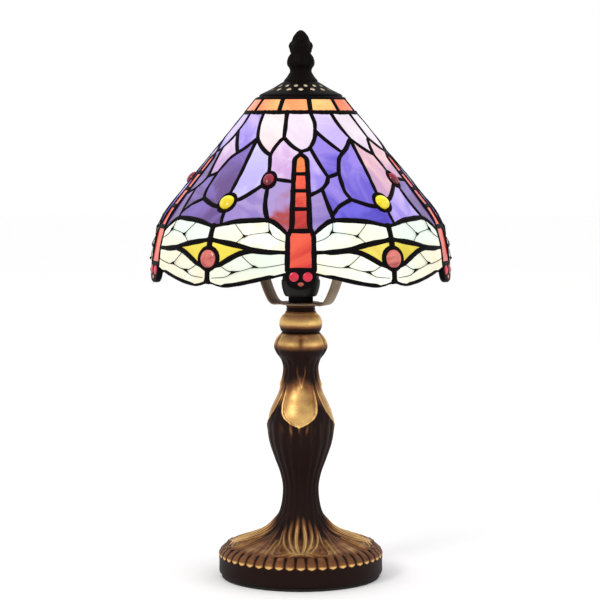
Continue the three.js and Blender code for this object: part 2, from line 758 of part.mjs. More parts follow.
function makePanes() {
  const panes = shadeShell(0, glassThickness).subtract(leading(restGap)).decompose();
  const lowestPane = fieldDrop * 0.08;
  const lowestField = fieldDrop * 0.56;
  for (const pane of panes) {
    const { angle, level } = paneMiddle(pane);
    const unit = Math.round(angle / unitAngle) % unitCount;
    const offset = ((angle - unit * unitAngle + 540) % 360) - 180;
    const share = offset / unitAngle;
    if (level < lowestPane) continue;
    if (level > fieldDrop) {
      const number = Math.floor(((angle - bandFirstLine + 360) % 360) / (360 / bandPieces)) + 1;
      place(`band_glass_${number}`, toGeometry(pane), finishes.bandGlass);
    } else if (Math.abs(share) < 0.06) {
      place(`dragonfly_body_glass_${unit + 1}`, toGeometry(pane), finishes.bodyGlass);
    } else if (level > lowestField) {
      const between = Math.floor(angle / unitAngle) % unitCount;
      place(`field_glass_${between + 1}`, toGeometry(pane), finishes.fieldGlass);
    } else {
      const side = share > 0 ? 'right' : 'left';
      place(`wing_glass_${unit + 1}_${side}`, toGeometry(pane), finishes.wingGlass);
    }
  }
}

function makeJewels() {
  for (let unit = 0; unit < unitCount; unit++) {
    const { place: spot } = onShade(jewelPlace, unit);
    const turn = Math.atan2(spot.x, -spot.y);
    const jewel = turned([
      [0, -glassThickness],
      [jewelRadius, -glassThickness],
      [jewelRadius, 0],
      [jewelRadius * 0.87, jewelRise * 0.5],
      [jewelRadius * 0.5, jewelRise * 0.87],
      [0, jewelRise],
    ], 12).rotateX(Math.PI / 2).rotateZ(turn).translate(spot.x, spot.y, spot.z);
    place(`pink_jewel_${unit + 1}`, jewel, finishes.jewelGlass);
  }
}

// ---- Cap and finial ----

function makeCap() {
  const bore = studRadius + boreGap;
  const bell = [
    [bore, capTop],
    [capCrownRadius, capTop],
    [capShoulderRadius, capTop - capShoulderDrop],
    [capLipRadius - 0.6, capTop - capShoulderDrop - 1.6],
    [capLipRadius, capTop - capShoulderDrop - 2.6],
    [capLipRadius, capTop - capDepth],
  ];
  const inside = besideLine(bell, capWall).reverse();
  const spigotRadius = shadeTopRadius - (glassThickness + leadProud) * Math.hypot(1, coneSlope) - boreGap;
  const lean = capShoulderDrop / (capShoulderRadius - capCrownRadius);
  const spigotTop = capTop - (spigotRadius - capCrownRadius) * lean - capWall * 0.6;
  const spigotBottom = shadeTop - capSpigotDepth;
  const spigotBore = spigotRadius - capSpigotWall;
  const spigot = ring(spigotBore, spigotRadius, spigotBottom, spigotTop, capHoleCount * 2);
  let cap = toSolid(turned([...bell, ...inside], capHoleCount * 2)).add(toSolid(spigot));
  for (let i = 0; i < capHoleCount; i++) {
    const hole = rod(capHoleRadius, shadeTop, capTop, holeSides).translate(0, -capHoleCircle, 0);
    cap = cap.subtract(toSolid(hole.rotateZ((2 * Math.PI * i) / capHoleCount)));
  }
  place('shade_cap', toGeometry(cap), finishes.bronze);
}

// Three tiers of leaves, as shares of the finial's radius and height.
const finialTiers = [
  [0.82, 0.07],
  [0.68, 0.135],
  [0.61, 0.19],
  [0.88, 0.295],
  [0.93, 0.375],
  [0.63, 0.56],
  [0.76, 0.68],
  [0.58, 0.77],
  [0.5, 0.84],
  [0, 1],
];

function makeFinial() {
  const bore = insertRadius + boreGap;
  const roof = finialBottom + restGap + insertHeight + restGap;
  const tiers = finialTiers.map(([r, z]) => [r * finialRadius, finialBottom + z * finialHeight]);
  const socket = [[0, roof], [bore, roof], [bore, finialBottom]];
  place('finial', turned([...socket, [finialRadius, finialBottom], ...tiers], fineSides), finishes.bronze);
  const low = finialBottom + restGap;
  place('finial_insert', ring(studRadius + boreGap, insertRadius, low, low + insertHeight), finishes.brass);
}

makeBase();
makeNeck();
makeHarp();
makeSocket();
makeBulb();
makeLead();
makePanes();
makeJewels();
makeCap();
makeFinial();

export default lamp;
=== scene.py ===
import json
import math
import random

import bpy
import numpy as np
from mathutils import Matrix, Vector
from mathutils.geometry import delaunay_2d_cdt

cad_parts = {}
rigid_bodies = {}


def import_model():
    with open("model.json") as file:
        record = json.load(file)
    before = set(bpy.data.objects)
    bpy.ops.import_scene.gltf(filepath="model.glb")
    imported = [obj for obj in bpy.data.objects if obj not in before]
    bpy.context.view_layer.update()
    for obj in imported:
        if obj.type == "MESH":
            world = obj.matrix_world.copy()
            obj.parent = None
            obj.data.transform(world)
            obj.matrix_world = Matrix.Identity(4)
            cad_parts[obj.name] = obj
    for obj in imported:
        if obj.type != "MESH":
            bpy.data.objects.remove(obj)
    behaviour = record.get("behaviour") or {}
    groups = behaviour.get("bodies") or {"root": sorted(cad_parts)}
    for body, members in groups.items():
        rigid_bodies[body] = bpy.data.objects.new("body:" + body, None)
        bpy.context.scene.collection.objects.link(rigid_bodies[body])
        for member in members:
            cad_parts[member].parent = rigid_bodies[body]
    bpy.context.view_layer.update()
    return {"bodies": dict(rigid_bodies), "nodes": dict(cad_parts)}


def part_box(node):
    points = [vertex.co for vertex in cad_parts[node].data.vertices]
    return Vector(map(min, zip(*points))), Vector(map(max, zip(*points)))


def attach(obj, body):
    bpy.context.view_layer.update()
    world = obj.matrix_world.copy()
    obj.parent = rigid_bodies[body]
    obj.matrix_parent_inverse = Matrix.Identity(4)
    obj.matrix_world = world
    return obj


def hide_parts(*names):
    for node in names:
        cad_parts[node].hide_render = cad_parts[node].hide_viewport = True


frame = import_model()
nodes = frame["nodes"]
scene = bpy.context.scene
mm = 0.001
sharpAngle = 55               # degrees between two faces, past which the edge is drawn sharp
print("frame loaded,", len(nodes), "nodes")

studio = {
    "cameraDistance": 1.388,
    "cameraHeight": 0.2976,
    "cameraPitch": 4.63,      # degrees below level
    "lens": 125.76,
    "shiftX": -0.0013,
    "roomLight": 1.0,
    "areas": {                # place, height it points at, size, power, colour
        "key": ((-0.9, -1.1, 1.1), 0.18, 0.5, 9.0, (1, 0.97, 0.92)),
        "fill": ((1.2, -0.6, 0.5), 0.15, 0.8, 2.5, (0.95, 0.97, 1)),
    },
    "bulbPower": 1.1,
    "bulbColour": (1, 0.86, 0.66),
    "bulbSize": 0.012,
    "floorColour": (0.98, 0.98, 0.98),
    "floorRadius": 6000,      # mm
}


def addObject(name, data, place=(0, 0, 0), turn=(0, 0, 0)):
    thing = bpy.data.objects.new(name, data)
    thing.location, thing.rotation_euler = place, turn
    scene.collection.objects.link(thing)
    return thing


def makeCamera():
    data = bpy.data.cameras.new("camera")
    data.lens, data.shift_x = studio["lens"], studio["shiftX"]
    data.sensor_width, data.clip_end = 36, 50
    place = (0, -studio["cameraDistance"], studio["cameraHeight"])
    scene.camera = addObject("camera", data, place, (math.radians(90 - studio["cameraPitch"]), 0, 0))


def makeLight(name, kind, power, colour):
    data = bpy.data.lights.new(name, kind)
    data.energy, data.color = power, colour
    return data


def makeStudio():
    scene.world = bpy.data.worlds.new("room")
    scene.world.use_nodes = True
    sky = scene.world.node_tree.nodes["Background"].inputs
    sky["Color"].default_value = (1, 1, 1, 1)
    sky["Strength"].default_value = studio["roomLight"]
    scene.view_settings.view_transform = "Standard"
    for name, (place, aim, size, power, colour) in studio["areas"].items():
        data = makeLight(name, "AREA", power, colour)
        data.size = size
        turn = (Vector((0, 0, aim)) - Vector(place)).to_track_quat("-Z", "Y").to_euler()
        addObject(name, data, place, turn)
    data = makeLight("bulbGlow", "POINT", studio["bulbPower"], studio["bulbColour"])
    data.shadow_soft_size = studio["bulbSize"]
    low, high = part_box("bulb_glass")
    glow = addObject("bulbGlow", data, (0, 0, low.z * 0.9 + high.z * 0.1 - 0.03))
    glow.parent = frame["bodies"]["bulb_body"]


# shapes, in millimetres


def toMesh(name, points, faces, smooth=True):
    mesh = bpy.data.meshes.new(name)
    mesh.from_pydata((np.asarray(points, float) * mm).tolist(), [], [tuple(f) for f in faces])
    if smooth:
        mesh.shade_smooth()
        mesh.set_sharp_from_angle(angle=math.radians(sharpAngle))
    mesh.update()
    return mesh


def addPiece(name, mesh, finish, body, replaced):
    piece = addObject(name, mesh)
    if finish is not None:
        mesh.materials.clear()
        mesh.materials.append(finishes[finish])
    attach(piece, body)
    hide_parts(*replaced)
    print("made", name, len(mesh.polygons), "faces")


def store(mesh, name, values, kind="FLOAT"):
    if kind == "FLOAT_COLOR":
        values = np.c_[values, np.ones(len(values))]
    field = "color" if kind == "FLOAT_COLOR" else "value"
    values = np.asarray(values).astype(bool if kind == "BOOLEAN" else np.float32)
    mesh.attributes.new(name, kind, "POINT").data.foreach_set(field, values.ravel())


def numbered(name, count):
    return [f"{name}_{k}" for k in range(1, count + 1)]


def box(node):
    low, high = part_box(node)
    return np.array(low) / mm, np.array(high) / mm


def gridFaces(rows, columns, wrapColumns=True, wrapRows=False):
    # they face outwards when the rows rise and the columns run from left to right
    faces = []
    for row in range(rows if wrapRows else rows - 1):
        above = (row + 1) % rows * columns
        for column in range(columns if wrapColumns else columns - 1):
            beside = (column + 1) % columns
            faces.append((row * columns + column, row * columns + beside, above + beside, above + column))
    return faces


def closedRings(rings, base, tip):
    # a solid from rings of points, with a point that closes each end
    sides, last = len(rings[0]), (len(rings) - 1) * len(rings[0])
    points = np.concatenate([*rings, [base], [tip]])
    pairs = [(k, (k + 1) % sides) for k in range(sides)]
    faces = gridFaces(len(rings), sides) + [(len(points) - 2, b, a) for a, b in pairs]
    return points, faces + [(len(points) - 1, last + a, last + b) for a, b in pairs]


def mergeParts(parts):
    points, faces, start = [], [], 0
    for somePoints, someFaces in parts:
        points.append(np.asarray(somePoints, float))
        faces += [tuple(start + i for i in face) for face in someFaces]
        start += len(somePoints)
    return np.concatenate(points), faces


def around(radius, angle, height):
    # points round the axis, with the angle in degrees from the front
    turn = np.radians(angle)
    return np.stack(np.broadcast_arrays(radius * np.sin(turn), -radius * np.cos(turn), height), -1)


def smoothLine(points, step):
    # a Catmull-Rom line through the points, cut into lengths of about one step
    points = [np.array(p, float) for p in points]
    if len(points) == 2:
        count = max(1, round(np.linalg.norm(points[1] - points[0]) / step))
        return [points[0] + (points[1] - points[0]) * k / count for k in range(count + 1)]
    ends = [2 * points[0] - points[1]] + points + [2 * points[-1] - points[-2]]
    line = [points[0]]
    for a, b, c, d in zip(ends, ends[1:], ends[2:], ends[3:]):
        count = max(1, round(np.linalg.norm(c - b) / step))
        for k in range(1, count + 1):
            t = k / count
            line.append(0.5 * (2 * b + (c - a) * t + (2 * a - 5 * b + 4 * c - d) * t ** 2
                               + (3 * b - a - 3 * c + d) * t ** 3))
    return line


def lathe(outline, sides, relief=None):
    # a ring, or a solid that starts and ends on the axis, turned from [radius, height] points
    outline = np.asarray(outline, float)
    solid = outline[0][0] < 1e-6
    rows = outline[1:-1] if solid else outline
    angles = np.arange(sides) * 360 / sides
    radius, height = (np.repeat(rows[:, k:k + 1], sides, 1) for k in (0, 1))
    if relief is not None:
        radius = radius + relief(angles[None, :], height, radius)
    points = around(radius, angles, height)
    if solid:
        return closedRings(points, (0, 0, outline[0][1]), (0, 0, outline[-1][1]))
    return points.reshape(-1, 3), gridFaces(len(rows), sides, True, True)


def linear(colour):
    # display values of 0 to 255 turned into the light values that shaders use
    colour = np.asarray(colour, float) / 255
    return np.where(colour <= 0.04045, colour / 12.92, ((colour + 0.055) / 1.055) ** 2.4)


def paint(colour):
    return (*linear(colour), 1)


# node trees


def connect(tree, node, inputs):
    for key, value in inputs.items():
        if isinstance(value, bpy.types.NodeSocket):
            tree.links.new(value, node.inputs[key])
        else:
            node.inputs[key].default_value = value
    return node


def addNode(tree, kind, inputs=None, **settings):
    node = tree.nodes.new(kind)
    for key, value in settings.items():
        setattr(node, key, value)
    return connect(tree, node, inputs or {})


def newGroup(name, kind, inputs, outputs):
    # an input has its first value, or the kind of its socket where it has none
    tree = bpy.data.node_groups.new(name, kind)
    plainKinds = {int: "Int", float: "Float"}
    for label, value in inputs.items():
        socketKind = value if isinstance(value, str) else plainKinds.get(type(value))
        socketKind = socketKind or {3: "Vector", 4: "Color"}[len(value)]
        socket = tree.interface.new_socket(label, in_out="INPUT", socket_type="NodeSocket" + socketKind)
        if not isinstance(value, str):
            socket.default_value = value
    for label, socketKind in outputs.items():
        tree.interface.new_socket(label, in_out="OUTPUT", socket_type="NodeSocket" + socketKind)
    return tree, tree.nodes.new("NodeGroupInput").outputs, tree.nodes.new("NodeGroupOutput")


def mixColour(tree, factor, first, second):
    return addNode(tree, "ShaderNodeMix", {0: factor, 6: first, 7: second}, data_type="RGBA").outputs[2]


def maths(tree, operation, first, second=0.0, clamp=False):
    return addNode(tree, "ShaderNodeMath", {0: first, 1: second}, operation=operation, use_clamp=clamp).outputs[0]


def vectorMaths(tree, operation, first, second):
    key = "Scale" if operation == "SCALE" else 1
    return addNode(tree, "ShaderNodeVectorMath", {0: first, key: second}, operation=operation).outputs[0]


def ramp(tree, value, low, high, lowTo=0.0, highTo=1.0):
    return addNode(tree, "ShaderNodeMapRange", {0: value, 1: low, 2: high, 3: lowTo, 4: highTo},
                   interpolation_type="SMOOTHSTEP").outputs[0]


def noise(tree, place, size, detail=2.0, **more):
    inputs = {"Vector": place, "Scale": size, "Detail": detail, **more}
    return addNode(tree, "ShaderNodeTexNoise", inputs).outputs["Fac"]


def swing(tree, value, strength):
    # a value of 0 to 1, swung evenly round nought
    return maths(tree, "MULTIPLY", maths(tree, "SUBTRACT", value, 0.5), strength)


def objectPoint(tree):
    return tree.nodes.new("ShaderNodeTexCoord").outputs["Object"]


def attribute(tree, name, output="Fac"):
    return addNode(tree, "ShaderNodeAttribute", attribute_name=name).outputs[output]


def makeWispGroup():
    # wisps and mottles of opalescent glass round a pane's own two colours
    tree, given, result = newGroup("opalWisps", "ShaderNodeTree", {
        "Tint": (1, 1, 1, 1), "Second tint": (1, 1, 1, 1), "Shift": 0.0, "Blend": 0.5, "Wisp size": 60.0,
        "Wisp strength": 0.5, "Mottle size": 240.0, "Mottle strength": 0.1}, {"Color": "Color", "Height": "Float"})
    lean = addNode(tree, "ShaderNodeVectorRotate", {
        "Vector": objectPoint(tree), "Angle": given["Shift"], "Axis": (0.3, 0.8, 0.5)}, rotation_type="AXIS_ANGLE")
    away = addNode(tree, "ShaderNodeCombineXYZ", {"X": given["Shift"], "Y": given["Shift"]})
    moved = vectorMaths(tree, "ADD", lean.outputs[0], away.outputs[0])
    long = vectorMaths(tree, "MULTIPLY", moved, (1.0, 1.0, 0.28))
    wisp = ramp(tree, noise(tree, long, given["Wisp size"], 3.0, Roughness=0.55, Distortion=0.9), 0.36, 0.64)
    share = maths(tree, "ADD", given["Blend"], swing(tree, wisp, given["Wisp strength"]), clamp=True)
    colour = mixColour(tree, share, given["Tint"], given["Second tint"])
    mottle = noise(tree, moved, given["Mottle size"])
    light = maths(tree, "ADD", 1.0, swing(tree, mottle, given["Mottle strength"]))
    ripple = noise(tree, long, 110.0, 1.0)
    connect(tree, result, {"Color": vectorMaths(tree, "SCALE", colour, light), "Height": ripple})
    return tree


def makePatinaGroup():
    # dark oxide, rubbed through to bronze and to bright metal where the relief stands up, and lighter still where a
    # painted highlight is given
    tree, given, result = newGroup("rubbedPatina", "ShaderNodeTree", {
        "Dark": (0.02, 0.01, 0.01, 1), "Middle": (0.2, 0.1, 0.05, 1), "Bright": (0.6, 0.45, 0.2, 1), "Rub and sheen": 0.5,
        "Cloud size": 90.0, "Cloud strength": 0.3, "Grain size": 1500.0},
        {"Color": "Color", "Roughness": "Float", "Metallic": "Float", "Height": "Float"})
    place = objectPoint(tree)
    cloud = noise(tree, place, given["Cloud size"], 4.0, Roughness=0.6)
    grain = noise(tree, place, given["Grain size"])
    uneven = swing(tree, cloud, given["Cloud strength"])
    uneven = maths(tree, "MULTIPLY", uneven, ramp(tree, given["Rub and sheen"], 0.04, 0.4))
    rubAndSheen = maths(tree, "ADD", given["Rub and sheen"], uneven, clamp=True)
    colour = mixColour(tree, ramp(tree, rubAndSheen, 0.05, 0.55), given["Dark"], given["Middle"])
    colour = mixColour(tree, ramp(tree, rubAndSheen, 0.45, 1.0), colour, given["Bright"])
    dull = ramp(tree, rubAndSheen, 0.0, 1.0, 0.5, 0.36)
    connect(tree, result, {
        "Color": vectorMaths(tree, "SCALE", colour, ramp(tree, grain, 0.3, 0.7, 0.86, 1.1)),
        "Roughness": maths(tree, "ADD", dull, maths(tree, "MULTIPLY", grain, 0.08)),
        "Metallic": ramp(tree, rubAndSheen, 0.05, 0.7, 0.0, 0.9),
        "Height": grain})
    return tree


def makeGrainGroup():
    # fine unevenness of drawn, turned, moulded or felted surfaces
    tree, given, result = newGroup("surfaceGrain", "ShaderNodeTree", {
        "Base": (0.5, 0.5, 0.5, 1), "Second": (0.3, 0.3, 0.3, 1), "Size": 800.0, "Stretch": (1, 1, 1),
        "Contrast": 0.5, "Shine": 0.4, "Shine spread": 0.1},
        {"Color": "Color", "Roughness": "Float", "Height": "Float"})
    place = objectPoint(tree)
    grain = noise(tree, vectorMaths(tree, "MULTIPLY", place, given["Stretch"]), given["Size"], 4.0)
    wear = maths(tree, "ADD", grain, maths(tree, "MULTIPLY", noise(tree, place, 70.0), 0.6))
    share = maths(tree, "MULTIPLY", ramp(tree, wear, 0.55, 1.05), given["Contrast"])
    connect(tree, result, {
        "Color": mixColour(tree, share, given["Base"], given["Second"]),
        "Roughness": maths(tree, "ADD", given["Shine"], swing(tree, grain, given["Shine spread"])),
        "Height": grain})
    return tree


groups = {"wisps": makeWispGroup(), "patina": makePatinaGroup(), "grain": makeGrainGroup()}
glassBody = 0.45              # share of a pane's colour that it shows by room light
glassBump, metalBump = 0.0006, 0.0002


def newMaterial(name):
    material = bpy.data.materials.new(name)
    material.use_nodes = True
    return material, material.node_tree, material.node_tree.nodes["Principled BSDF"]


def useGroup(tree, group, values):
    return addNode(tree, "ShaderNodeGroup", values, node_tree=groups[group]).outputs


def bumpFrom(tree, height, strength, distance):
    return addNode(tree, "ShaderNodeBump", {"Height": height, "Strength": strength, "Distance": distance}).outputs[0]


def makeGlass(name, glow, wispSize, wispStrength, ripple=0.25, mottle=0.12):
    material, tree, shader = newMaterial(name)
    wisps = useGroup(tree, "wisps", {
        "Tint": attribute(tree, "tint", "Color"), "Second tint": attribute(tree, "secondTint", "Color"),
        "Shift": attribute(tree, "shift"), "Blend": attribute(tree, "blend"),
        "Wisp size": wispSize, "Wisp strength": wispStrength, "Mottle strength": mottle})
    # the bulb's light through the glass is painted on as an emission glow in the pane's own colour
    connect(tree, shader, {
        "Base Color": vectorMaths(tree, "SCALE", wisps["Color"], glassBody), "Emission Color": wisps["Color"],
        "Emission Strength": glow, "Roughness": 0.16, "IOR": 1.5,
        "Normal": bumpFrom(tree, wisps["Height"], ripple, glassBump)})
    return material


def makePatina(name, dark, middle, bright, rubAndSheen=None, cloud=0.3, bump=0.15, shine=0.07, lit=False):
    material, tree, shader = newMaterial(name)
    metal = useGroup(tree, "patina", {
        "Dark": paint(dark), "Middle": paint(middle), "Bright": paint(bright),
        "Rub and sheen": attribute(tree, "rubAndSheen") if rubAndSheen is None else rubAndSheen, "Cloud strength": cloud})
    connect(tree, shader, {
        "Base Color": metal["Color"], "Roughness": metal["Roughness"], "Metallic": metal["Metallic"],
        "Specular IOR Level": shine, "Normal": bumpFrom(tree, metal["Height"], bump, metalBump)})
    if lit:                             # painted lamplight: an emission glow on the faces that carry the "lit" attribute
        light = vectorMaths(tree, "SCALE", (1.0, 0.84, 0.6), attribute(tree, "lit"))
        connect(tree, shader, {"Emission Color": light, "Emission Strength": 1.0})
    return material


def makePlain(name, base, second, metallic, shine, size=800.0, stretch=(1, 1, 1), contrast=0.6, bump=0.1, glow=0.0,
              specular=0.5):
    material, tree, shader = newMaterial(name)
    grain = useGroup(tree, "grain", {
        "Base": paint(base), "Second": paint(second), "Size": size, "Stretch": stretch, "Contrast": contrast,
        "Shine": shine, "Shine spread": 0.15})
    connect(tree, shader, {
        "Base Color": grain["Color"], "Roughness": grain["Roughness"], "Metallic": metallic,
        "Specular IOR Level": specular, "Normal": bumpFrom(tree, grain["Height"], bump, metalBump)})
    if glow:
        connect(tree, shader, {"Emission Color": grain["Color"], "Emission Strength": glow})
    return material


finishes = {
    "field": makeGlass("fieldGlass", 0.57, 55.0, 0.9),
    "wing": makeGlass("wingGlass", 0.62, 40.0, 0.8, mottle=0.05),
    "body": makeGlass("bodyGlass", 0.52, 60.0, 0.8),
    "band": makeGlass("bandGlass", 0.62, 45.0, 0.8),
    "jewel": makeGlass("jewelGlass", 0.5, 160.0, 1.0, ripple=0.5),
    "lead": makePatina("leadCame", (9, 5, 8), (24, 16, 18), (46, 30, 30), 0.1, 0.5, 0.3, shine=0.04),
    "gilt": makePatina("antiqueGilt", (27, 13, 10), (128, 84, 52), (228, 186, 116), cloud=0.5),
    "cap": makePatina("darkBronze", (10, 6, 6), (40, 26, 22), (92, 60, 40), 0.1, 0.5, 0.3, shine=0.04, lit=True),
    "harp": makePatina("harpBronze", (90, 76, 62), (128, 110, 88), (170, 150, 120), 0.45, 0.9, 0.2),
    "steel": makePlain("zincSteel", (165, 165, 160), (120, 118, 112), 1.0, 0.32),
    "brass": makePlain("turnedBrass", (196, 160, 96), (150, 112, 60), 1.0, 0.3, stretch=(1, 1, 4)),
    "iron": makePlain("castIron", (78, 78, 80), (40, 40, 42), 0.6, 0.7, size=500.0, bump=0.5),
    "felt": makePlain("darkFelt", (26, 21, 18), (16, 12, 11), 0.0, 0.95, size=2500.0, contrast=0.9, bump=0.8),
    "socket": makePlain("mouldedPhenolic", (20, 14, 13), (11, 8, 8), 0.0, 0.5, specular=0.18),
    "bulb": makePlain("frostedBulb", (255, 246, 226), (255, 236, 205), 0.0, 0.5, size=200.0, glow=1.6),
    "filament": makePlain("filamentWire", (255, 214, 150), (255, 190, 110), 0.0, 0.6, glow=4.0),
}

makeCamera()
makeStudio()
print("camera and studio made")

units = 5
unitAngle = 72
shadeSize = {
    "rimHeight": 199.5,
    "drop": 119.7,            # from the top edge to the rim line
    "topRadius": 28.8,
    "bend": [(99.2, 15.0), (97.7, 35.4), (86.5, 49.1)],     # skirt, knee, shoulder: radius, height over the rim line
    "rimRadius": 100.3,
    "glass": 2.6,
    "flatness": 0.55,         # how far a pane keeps flat, from 0 to 1
}


def shadeProfile():
    skirt, knee, shoulder = (np.array(point) for point in shadeSize["bend"])
    bend = [(1 - t) ** 2 * skirt + 2 * t * (1 - t) * knee + t * t * shoulder for t in np.linspace(0, 1, 25)]
    rim, top = shadeSize["rimRadius"], shadeSize["topRadius"]
    return np.array([[rim + 0.3, -4.0], [rim, 0.0], *bend, [top, shadeSize["drop"]]])


profile = shadeProfile()


def shadeRadius(level):
    return np.interp(level, profile[:, 1], profile[:, 0])


def shadePoints(angle, level, depth):
    # points on the shade: angle in degrees, level in mm over the rim line, depth outwards from the outer face
    level, depth = np.asarray(level, float), np.asarray(depth, float)
    slope = (shadeRadius(level - 1.5) - shadeRadius(level + 1.5)) / 3.0
    lean = np.hypot(1, slope)
    height = shadeSize["rimHeight"] + level + depth * slope / lean
    return around(shadeRadius(level) + depth / lean, angle, height)


# one unit of the pattern, in degrees from the dragonfly's middle and mm over the rim line
cartoon = {
    "step": 2.2,
    "leadRadius": 2.15,
    "frameRadius": 2.3,
    "bodyRadius": 2.3,
    "wingRadius": 2.2,
    "rimRadius": 1.55,
    "gapRadius": 2.75,        # between two dragonflies' wings
    "innerShare": 0.62,       # an inner bead beside an outer one
    "innerSink": 0.85,
    "sink": 1.75,             # how far the bead's middle lies under the glass face
    "solder": 1.05,
    "wave": 0.06,             # how uneven the beads are
    "mmPerDegree": 1.3,       # about half-way up
    "reach": 3.2,             # how far a loose end is carried to meet a line
    "past": 0.12,             # how far it then goes across it
    "tail": 0.4,              # a loose end shorter than this is cut off
    "clear": 1.5,             # from a pane's inner points to its edge
}

fieldLines = [
    [(-13.8, 110), (-12.9, 102), (-12.2, 93.6)],
    [(31.8, 110), (34.2, 102), (38.5, 93.2)],
    [(9.7, 110), (12, 103.5), (11.4, 98)],
    [(-33.5, 93), (-28.8, 89), (-23.8, 85.3), (-19.1, 82.5)],
    [(-19.1, 82.5), (-17.6, 87), (-14.8, 91.5), (-12.2, 93.6)],
    [(-12.2, 93.6), (-5.3, 88), (0, 84.8)],
    [(0, 84.8), (3.7, 85.7), (6.2, 87.2), (9.9, 93), (11.4, 98)],
    [(11.4, 98), (19.5, 91), (27.2, 84)],
    [(27.2, 84), (31.7, 87), (38.5, 93.2)],
    [(27.2, 84), (23.3, 79.8), (20.6, 71.3)],
    [(20.6, 71.3), (18.6, 70.4), (14.1, 68.8)],
    [(6.2, 87.2), (9.8, 79), (13.6, 70), (14.1, 68.8)],
    [(14.1, 68.8), (13.3, 66), (10.1, 61.5), (3.5, 57.5)],
    [(10.1, 61.5), (12.4, 48), (12.9, 45.5)],
    [(20.6, 71.3), (20.6, 65.5), (21, 59.5), (22.7, 55.2)],
    [(22.7, 55.2), (16.7, 51.1), (12.9, 45.5)],
    [(12.9, 45.5), (13.1, 42.8)],
    [(22.7, 55.2), (31.1, 51.3), (35.4, 50.6)],
    [(38.5, 93.2), (38.3, 80.5), (38.3, 72.5), (37.9, 64.5), (37.6, 57.8)],
    [(38.7, 48.6), (39.0, 41.6)],
    [(-30.4, 54.8), (-27.9, 55.5), (-19.4, 63.4)],
    [(-19.1, 82.5), (-17.6, 75.5), (-17.2, 71.2)],
    [(-13.2, 67.6), (-3.5, 66.1)],
    [(-16.1, 62.6), (-15.4, 52), (-13.3, 42.6)],
    [(0, 84.8), (0, 83)],
]
bodySide = [(0, 83), (3.2, 80.5), (3.6, 76), (3.5, 60), (3.4, 40), (3.9, 36.3), (4.9, 33.5), (4.9, 12)]
bodyAcross = [(3.55, 70.9), (3.5, 60.5), (3.45, 49.5), (3.9, 36.2), (4.9, 12)]
wingLines = [
    [(4.9, 34), (8.5, 39), (12.6, 42.6), (19, 42.6), (26.5, 41.6), (32.5, 39.3), (36, 38.2)],
    [(4.9, 22.7), (12, 23.2), (18, 24.1)],
    [(18, 24.1), (24, 26.9), (30, 28.8), (34, 29.8), (36, 30.2)],
    [(18, 24.1), (22.5, 22.3), (27, 18.5), (31, 14.5), (32.6, 13.2)],
]
rimLine = [(4.9, 10.8), (14, 6.8), (24, 3), (30, 2), (34, 3.6), (36, 4.9)]
gapLines = [[(36, 38.2), (36, 25.2)], [(36, 10.8), (36, 4.9)]]

# middle, half width and half height in mm, how far it stands out, radius of the lead round a round one
jewels = {
    "yellow": {"at": (38.1, 53.0), "size": (5.1, 5.1), "rise": 2.3, "colours": ((255, 246, 40), (226, 196, 10))},
    "garnet": {"at": (-16.3, 67.0), "size": (3.5, 4.6), "rise": 2.4, "colours": ((150, 10, 50), (70, 0, 20))},
    "pink": {"at": (36.0, 18.0), "size": (5.7, 5.7), "rise": 1.3, "colours": ((216, 112, 100), (160, 62, 60)),
             "ring": 7.2, "facet": 0.05},
    "leftEye": {"at": (-2.45, 8.0), "size": (3.3, 3.35), "rise": 1.25, "colours": ((214, 14, 58), (120, 0, 26))},
    "rightEye": {"at": (2.45, 8.0), "size": (3.3, 3.35), "rise": 1.25, "colours": ((214, 14, 58), (120, 0, 26))},
    "nose": {"at": (0.0, 3.3), "size": (2.9, 2.0), "rise": 0.8, "colours": ((206, 104, 76), (150, 50, 34)),
             "pointed": True},
}


def jewelOutline(kind):
    angle, level = jewels[kind]["at"]
    wide, high = (half + 0.5 for half in jewels[kind]["size"])
    if "ring" in jewels[kind]:
        wide = high = jewels[kind]["ring"]
    perDegree = shadeRadius(level) * math.pi / 180
    turns = np.linspace(0, 2 * math.pi, 21)
    return [(angle + wide * math.cos(t) / perDegree, level + high * math.sin(t) * 0.97) for t in turns]


def spread(points, sign=1):
    # the line's points about one step apart, measured on the shade
    scale = math.pi / 180 * 75
    line = smoothLine([(p[0] * sign * scale, p[1]) for p in points], cartoon["step"])
    return [(p[0] / scale, p[1]) for p in line]


def unitLines():
    lines = [(spread(line), "lead") for line in fieldLines]
    for sign in (1, -1):
        lines += [(spread(line, sign), "body") for line in (bodySide[:6], bodySide[5:])]
        lines += [(spread(line, sign), "wing") for line in wingLines]
        lines.append((spread(rimLine, sign), "rim"))
    lines += [(spread([(-half, level), (half, level)]), "body") for half, level in bodyAcross]
    lines += [(spread(line), "gap") for line in gapLines]
    lines += [(jewelOutline(kind), "lead") for kind in ("yellow", "garnet")]
    lines.append((jewelOutline("pink"), "wing"))
    lines.append((spread([(-36, 110), (36, 110)]), "frame"))
    return lines


def closeEnds(lines):
    # a line's end is carried to the nearest other line, just across it, so that every pane closes
    scale = cartoon["mmPerDegree"]
    segments = []
    for shift in (-unitAngle, 0, unitAngle):
        for index, (line, _) in enumerate(lines):
            for a, b in zip(line, line[1:]):
                owner = index if shift == 0 else -1
                segments.append((owner, (a[0] + shift) * scale, a[1], (b[0] + shift) * scale, b[1]))
    segments = np.array(segments)
    closed = []
    for index, (line, kind) in enumerate(lines):
        line = list(line)
        others = segments[segments[:, 0] != index]
        start, run = others[:, 1:3], others[:, 3:5] - others[:, 1:3]
        for place in (0, len(line)) if math.dist(line[0], line[-1]) > 1 else ():
            end = np.array(line[min(place, len(line) - 1)]) * (scale, 1)
            share = np.clip(((end - start) * run).sum(1) / (run ** 2).sum(1), 0, 1)
            near = start + run * share[:, None]
            gaps = np.hypot(*(near - end).T)
            nearest = near[gaps.argmin()]
            if 1e-3 < gaps.min() < cartoon["reach"]:
                past = nearest + (nearest - end) / gaps.min() * cartoon["past"]
                line.insert(place, (past[0] / scale, past[1]))
        closed.append((line, kind))
    return closed


